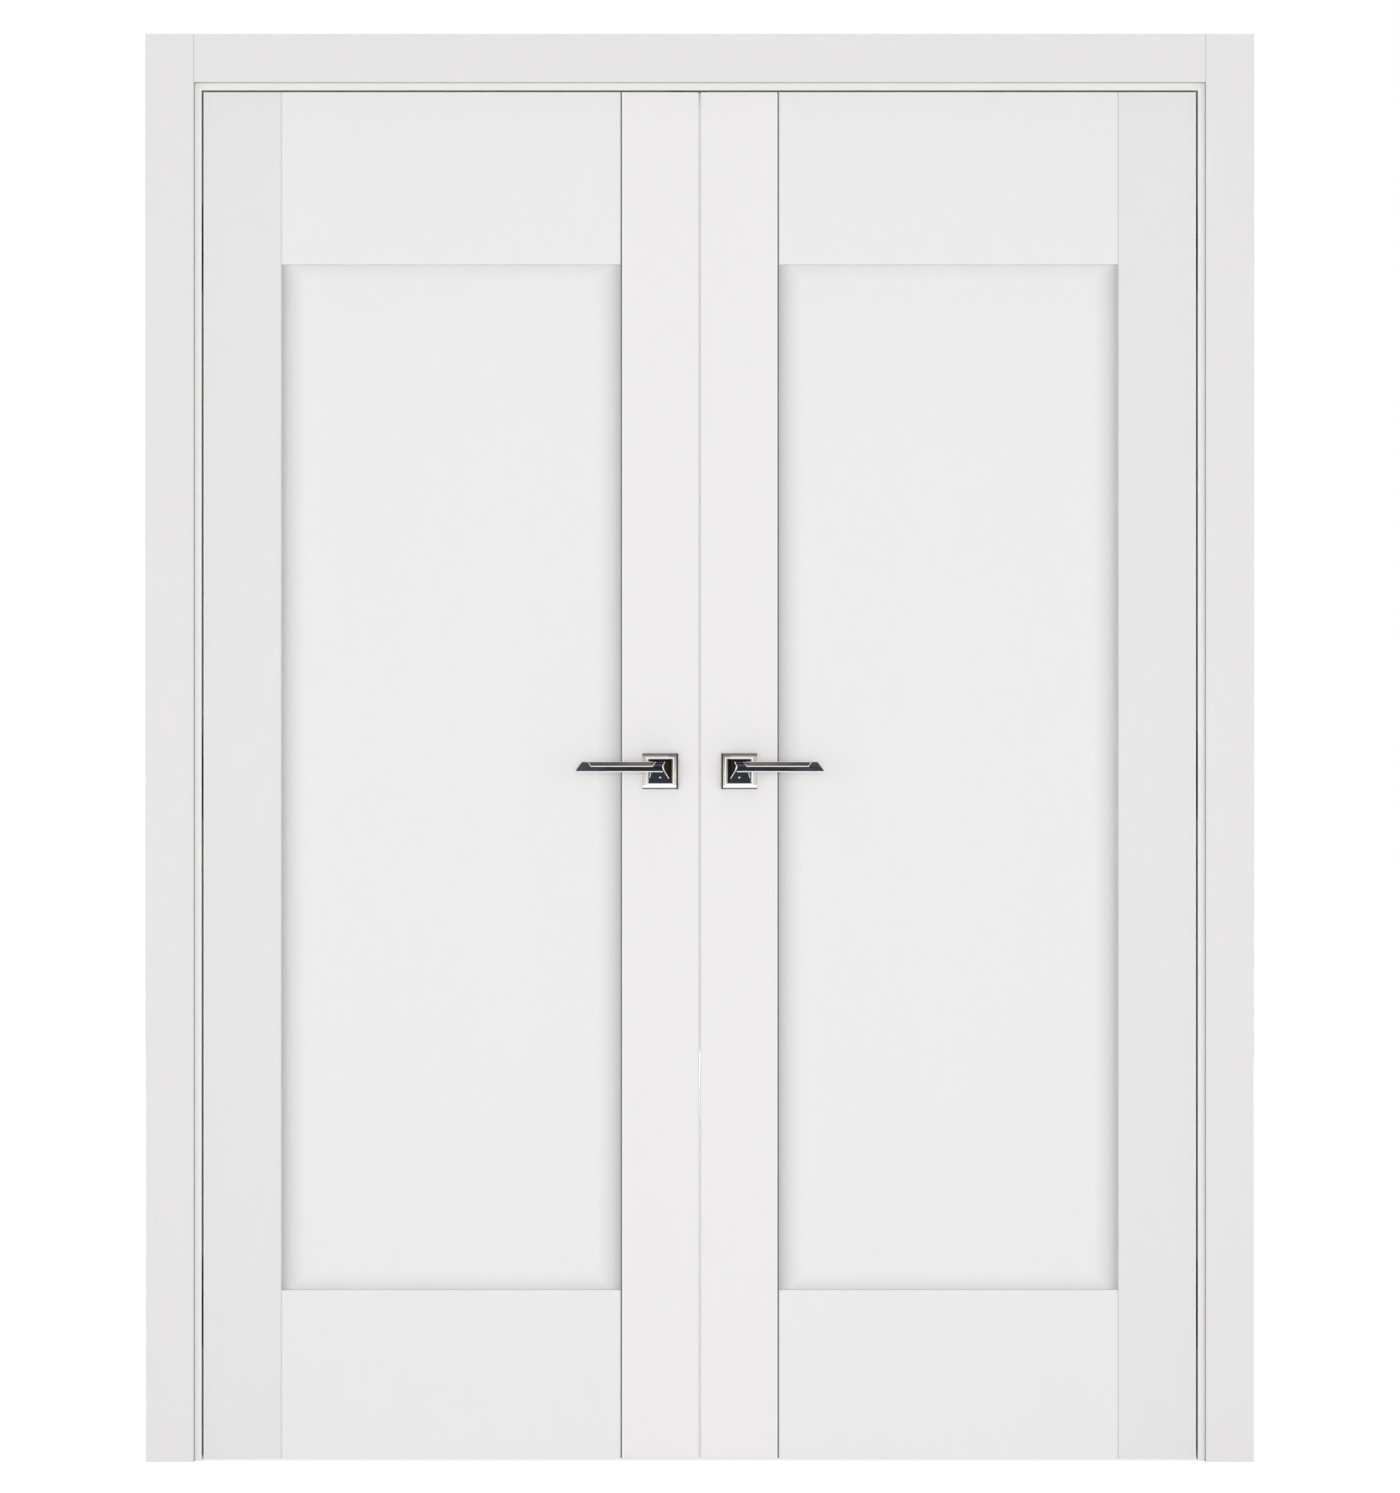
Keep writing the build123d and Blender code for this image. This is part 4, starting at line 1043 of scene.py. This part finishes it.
@dataclass
class Leaf:
    """One leaf: stiles, rails, panel, dowels and its half of the concealed hinges."""

    side: Side
    joint_line: float = 0.0011
    line_depth: float = 0.0015
    # The meeting stile's white is painted lighter and the hinge stile's darker: a painted fall-off of
    # light from the middle of the door.
    stile_tone: Colour = from_screen(239, 237, 237)
    outer_tone: Colour = from_screen(232, 231, 231)
    # Shares of the lines at the stiles' edges: below 1 a dark joint with painted shade, above 1 a painted
    # highlight.
    inner_joint_share: float = 0.2
    outer_joint_share: float = 0.82
    inner_arris_share: float = 1.09
    arris_line: float = 0.0018
    arris_share: float = 1.14
    seal_front: float = 0.002
    seal_back: float = 0.005
    seal_clearance: float = 0.0002
    seal_end: float = 0.001
    seal_points: int = 9

    def meeting_seal(self) -> None:
        """Slim seal along the meeting edge, which shows as the grey line between the leaves.

        Its section has its back on the stile and a half-round nose: X is the clearance plus the reach
        times one less the sine of the angle, and Y the middle less half the depth times the cosine.
        """
        low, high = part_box(f"{self.side.word}_meeting_stile")
        edge = min(abs(low.x), abs(high.x))
        angles = np.linspace(0, math.pi, self.seal_points)
        reach = edge - self.seal_clearance
        middle = low.y + (self.seal_front + self.seal_back) / 2
        half = (self.seal_back - self.seal_front) / 2
        ends = np.array([[low.z + self.seal_end], [high.z - self.seal_end]])
        points = grid(self.side.value * (self.seal_clearance + reach * (1 - np.sin(angles))),
                      middle - half * np.cos(angles), ends)
        new_piece(f"{self.side.word}_meeting_seal", points.reshape(-1, 3),
                  tube_faces(2, len(angles), self.side is Side.LEFT), SEAL_WHITE,
                  f"{self.side.word}_leaf", "white_gasket")

    def dress(self) -> None:
        """Finishes the leaf's nodes, with a dark joint line with painted shade and a painted highlight
        along each stile, and painted shade in the panel's recess.
        """
        word = self.side.word
        low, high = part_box(f"{word}_meeting_stile")
        inner = max(abs(low.x), abs(high.x)) - self.joint_line
        low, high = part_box(f"{word}_hinge_stile")
        outer, arris = sorted((abs(low.x), abs(high.x)))
        depth = {"middle": (low.y + high.y) / 2, "inner_half": (high.y - low.y) / 2 - self.line_depth}
        # Along each stile's edge by rails and panel: a dark joint line with painted shade, and a painted
        # highlight on an arris.
        meeting = Laminate("meeting_stile_laminate", self.stile_tone, 0.42, joints=(
            JointLine(inner, self.joint_line, self.inner_joint_share, **depth),
            JointLine(inner - 2 * self.joint_line, self.joint_line, self.inner_arris_share, **depth)))
        hinge = Laminate("hinge_stile_laminate", self.outer_tone, 0.42, joints=(
            JointLine(outer, self.joint_line, self.outer_joint_share, **depth),
            JointLine(arris, self.arris_line, self.arris_share, **depth)))
        self.meeting_seal()
        put_on(meeting, f"{word}_meeting_stile")
        put_on(hinge, f"{word}_hinge_stile")
        put_on(RAIL_WHITE, f"{word}_top_rail", f"{word}_bottom_rail")
        # Painted shade along the edges of the panel's recess.
        recess = RecessShade(inner + self.joint_line, outer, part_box(f"{word}_bottom_rail")[1].z,
                             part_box(f"{word}_top_rail")[0].z)
        put_on(Laminate("panel_laminate", PANEL_TONE, 0.42, shade=recess), f"{word}_panel")
        put_on(DOWEL_BEECH, f"{word}_rail_dowels")
        put_on(HINGE_ZINC, *(f"{word}_{host}_hinge_{part}" for host in ("leaf", "jamb")
                             for part in ("cups", "arms")))
        put_on(SCREW_ZINC, f"{word}_leaf_hinge_screws", f"{word}_hardware_screws")


@dataclass
class Closing:
    """Latch, strike and flush bolts in the meeting edges."""

    def dress(self) -> None:
        """Finishes the closing hardware."""
        put_on(CASE_STEEL, "latch_case", "latch_follower")
        put_on(SATIN_NICKEL, "latch_forend", "latch_strike", "top_flush_bolt_plate",
               "bottom_flush_bolt_plate", "top_flush_bolt", "bottom_flush_bolt")
        put_on(BOLT_NYLON, "latch_bolt")
        put_on(MAGNET_GREY, "strike_magnet")


@dataclass
class ScrewDrives:
    """Dark plus-shaped pieces on the hinge screws' heads: painted shade for the cross recesses that show
    when a leaf is open.
    """

    arm: float = 0.0021
    half_width: float = 0.00045
    sunk: float = 0.0004
    proud: float = 0.00004
    screw_pitch: float = 0.009
    widest_head: float = 0.012

    def outline(self) -> np.ndarray:
        """A plus sign: three corners at the arm and half width, turned four times by a right angle.

        Returns:
            The outline's points, one row each.
        """
        corner = np.array([(self.arm, -self.half_width), (self.arm, self.half_width),
                           (self.half_width, self.half_width)])
        quarter = np.array([(0.0, 1.0), (-1.0, 0.0)])
        return np.concatenate([corner @ np.linalg.matrix_power(quarter, turn) for turn in range(4)])

    def heads(self, node: str, outward: float) -> np.ndarray:
        """Where a node's screws along X have their heads.

        Points are grouped by side and height, and each group's head is its extreme along X.

        Args:
            node: The screws' node.
            outward: 1 if the heads face away from the middle of the door, else -1.

        Returns:
            Each head's X, Y and Z, with the sign of X as the way that it faces.
        """
        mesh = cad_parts[node].data
        points = np.empty(len(mesh.vertices) * 3, np.float32)
        mesh.vertices.foreach_get("co", points)
        points = points.reshape(-1, 3).astype(float)
        keys = np.round(points[:, 2] / self.screw_pitch) * np.sign(points[:, 0])
        found = []
        for key in np.unique(keys):
            group = points[keys == key]
            if np.ptp(group[:, 1]) < self.widest_head:
                side = np.sign(group[:, 0].mean())
                x = side * (np.abs(group[:, 0]).max() if outward > 0 else np.abs(group[:, 0]).min())
                centre = (group.min(0) + group.max(0)) / 2
                found.append((x, centre[1], centre[2], side * outward))
        return np.array(found)

    def recesses(self, name: str, node: str, outward: float, body: str) -> None:
        """One piece with a dark plus of painted shade for the recess of each screw of a node.

        A point is the head's centre, plus the outline in Y and Z, plus a step along X.

        Args:
            name: The piece's name.
            node: The screws' node.
            outward: 1 if the heads face away from the middle of the door, else -1.
            body: The body that carries them.
        """
        outline = self.outline()
        points, faces = [], []
        for x, y, z, way in self.heads(node, outward):
            steps = x + way * np.array([[-self.sunk], [self.proud]])
            points.append(grid(steps, *((y, z) + outline).T).reshape(-1, 3))
            faces.append(tube_faces(2, len(outline), way < 0))
        new_piece(name, *joined(points, faces), RECESS_PAINTED_SHADE, body, "zinc_plated_steel")

    def dress(self) -> None:
        """Adds the painted shade of the hinge screws' recesses."""
        self.recesses("jamb_hinge_screw_recesses", "jamb_hinge_screws", -1, "frame")
        for side in Side:
            leaf = f"{side.word}_leaf"
            self.recesses(f"{leaf}_hinge_screw_recesses", f"{leaf}_hinge_screws", 1, leaf)


@dataclass(frozen=True)
class Lamp:
    """A soft square lamp that only lights: neither the camera nor a reflection shows it."""

    name: str
    place: Point
    size: float
    power: float

    def stand(self, target: Point, side: int = 1, out: int = 1, word: str = "") -> None:
        """Stands the lamp in its place or across the door from it, turned to its target.

        Args:
            target: The point that it faces.
            side: The sign of its X.
            out: The sign of its Y.
            word: What its name begins with.
        """
        place = np.array(self.place) * (side, out, 1)
        x, y, z = np.array(target) - place
        pitch = math.atan2(z, math.hypot(x, y))
        data = bpy.data.lights.new(word + self.name, "AREA")
        data.size = self.size
        data.energy = self.power
        lamp = add(word + self.name, data)
        lamp.location = place
        lamp.rotation_euler = (math.pi / 2 + pitch, 0.0, math.atan2(-x, y))
        lamp.visible_camera = False
        lamp.visible_glossy = False


@dataclass
class Studio:
    """Pale floor, white surroundings and plain soft lamps."""

    floor_half: float = 30.0
    floor_grey: float = 0.86
    floor_roughness: float = 0.9
    floor_gloss: float = 0.1
    white: Colour = (1.0, 1.0, 1.0)
    world_level: float = 0.43
    aim: Point = (0.0, 0.0, 1.06)
    top_lamp: Lamp = Lamp("top_lamp", (0.0, 0.0, 8.0), 4.0, 110.0)
    face_lamp: Lamp = Lamp("lamp", (0.0, 8.0, 0.9), 2.6, 228.0)
    side_lamp: Lamp = Lamp("lamp", (3.4, 4.0, 1.0), 2.6, 33.0)

    def floor(self) -> None:
        """Pale floor that shows white.

        Rays that show the surroundings see a glow added to its shading: what the world's light leaves to
        white. The lamps' light comes on top, so a faint shadow is lost in the white.
        """
        half = self.floor_half
        mesh = bpy.data.meshes.new("floor")
        mesh.from_pydata([(-half, -half, 0), (half, -half, 0), (half, half, 0), (-half, half, 0)], [],
                         [[0, 1, 2, 3]])
        material = bpy.data.materials.new("floor")
        shader = Shader(material)
        grey = self.floor_grey
        plain = shader.node("ShaderNodeBsdfPrincipled", inputs={
            "Base Color": (grey, grey, grey), "Roughness": self.floor_roughness,
            "Specular IOR Level": self.floor_gloss})
        glow = shader.node("ShaderNodeEmission", inputs={
            "Color": self.white, "Strength": self.seen(shader) * (1 - self.world_level * grey)})
        added = shader.node("ShaderNodeAddShader", inputs={0: plain.outputs[0], 1: glow.outputs[0]})
        shader.node("ShaderNodeOutputMaterial", inputs={0: added.outputs[0]})
        mesh.materials.append(material)
        add("floor", mesh)

    @staticmethod
    def seen(shader: Shader) -> Amount:
        """Which rays show the surroundings themselves: those of the camera, of gloss and through glass.

        Args:
            shader: The nodes of the floor or the world.

        Returns:
            1 for those rays, and 0 for the ones that carry light.
        """
        path = shader.node("ShaderNodeLightPath")
        camera, glossy, through = (Amount(shader, path.outputs[name]) for name in (
            "Is Camera Ray", "Is Glossy Ray", "Is Transmission Ray"))
        return camera.at_least(glossy).at_least(through)

    def surroundings(self) -> None:
        """World that lights at a plain level and shows white."""
        world = bpy.data.worlds.new("studio")
        bpy.context.scene.world = world
        shader = Shader(world)
        strength = self.seen(shader) * (1 - self.world_level) + self.world_level
        inputs = {"Color": self.white, "Strength": strength}
        background = shader.node("ShaderNodeBackground", inputs=inputs)
        shader.node("ShaderNodeOutputWorld", inputs={0: background.outputs[0]})

    def light(self) -> None:
        """Stands three lamps before each face, one square on and two aslant, and one above the door."""
        self.top_lamp.stand(self.aim)
        for face in Face:
            self.face_lamp.stand(self.aim, 1, face.value, f"{face.word}_")
            for side in Side:
                self.side_lamp.stand(self.aim, side.value, face.value, f"{face.word}_{side.word}_")


@dataclass
class Viewpoint:
    """Camera square to the door, at the height of the photograph's middle row."""

    distance: float = 6.0
    sensor: float = 36.0
    farthest: float = 200.0

    def build(self) -> None:
        """Stands the camera so that the door fills the frame as it does in the photograph."""
        top = CAD_BOX[1].z
        face_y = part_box("left_meeting_stile")[0].y
        casing_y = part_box("left_front_casing")[0].y
        nearer = self.distance / (self.distance - (face_y - casing_y))
        metres_a_pixel = top * nearer / (FLOOR_ROW - CASING_TOP_ROW)
        data = bpy.data.cameras.new("camera")
        data.sensor_width = self.sensor
        data.lens = self.sensor * self.distance / (PHOTO_HEIGHT * metres_a_pixel)
        data.clip_end = self.farthest
        camera = add("camera", data)
        across = (PHOTO_WIDTH / 2 - MEETING_COLUMN) * metres_a_pixel
        height = (FLOOR_ROW - PHOTO_HEIGHT / 2) * metres_a_pixel
        camera.location = (across, face_y - self.distance, height)
        camera.rotation_euler = (math.pi / 2, 0.0, 0.0)
        bpy.context.scene.camera = camera
        LOG.info("camera: lens %.1f mm, %.4f m a pixel", data.lens, metres_a_pixel)


def main() -> None:
    """Builds and dresses each part of the door, then the studio and the camera."""
    logging.basicConfig(level=logging.INFO, format="%(name)s: %(message)s")
    Viewpoint().build()
    DoorFrame().dress()
    for side in Side:
        Leaf(side).dress()
        LeverSet(side).dress()
    Closing().dress()
    ScrewDrives().dress()
    studio = Studio()
    studio.floor()
    studio.surroundings()
    studio.light()
    bpy.context.scene.view_settings.view_transform = "Standard"


if __name__ == "__main__":
    main()
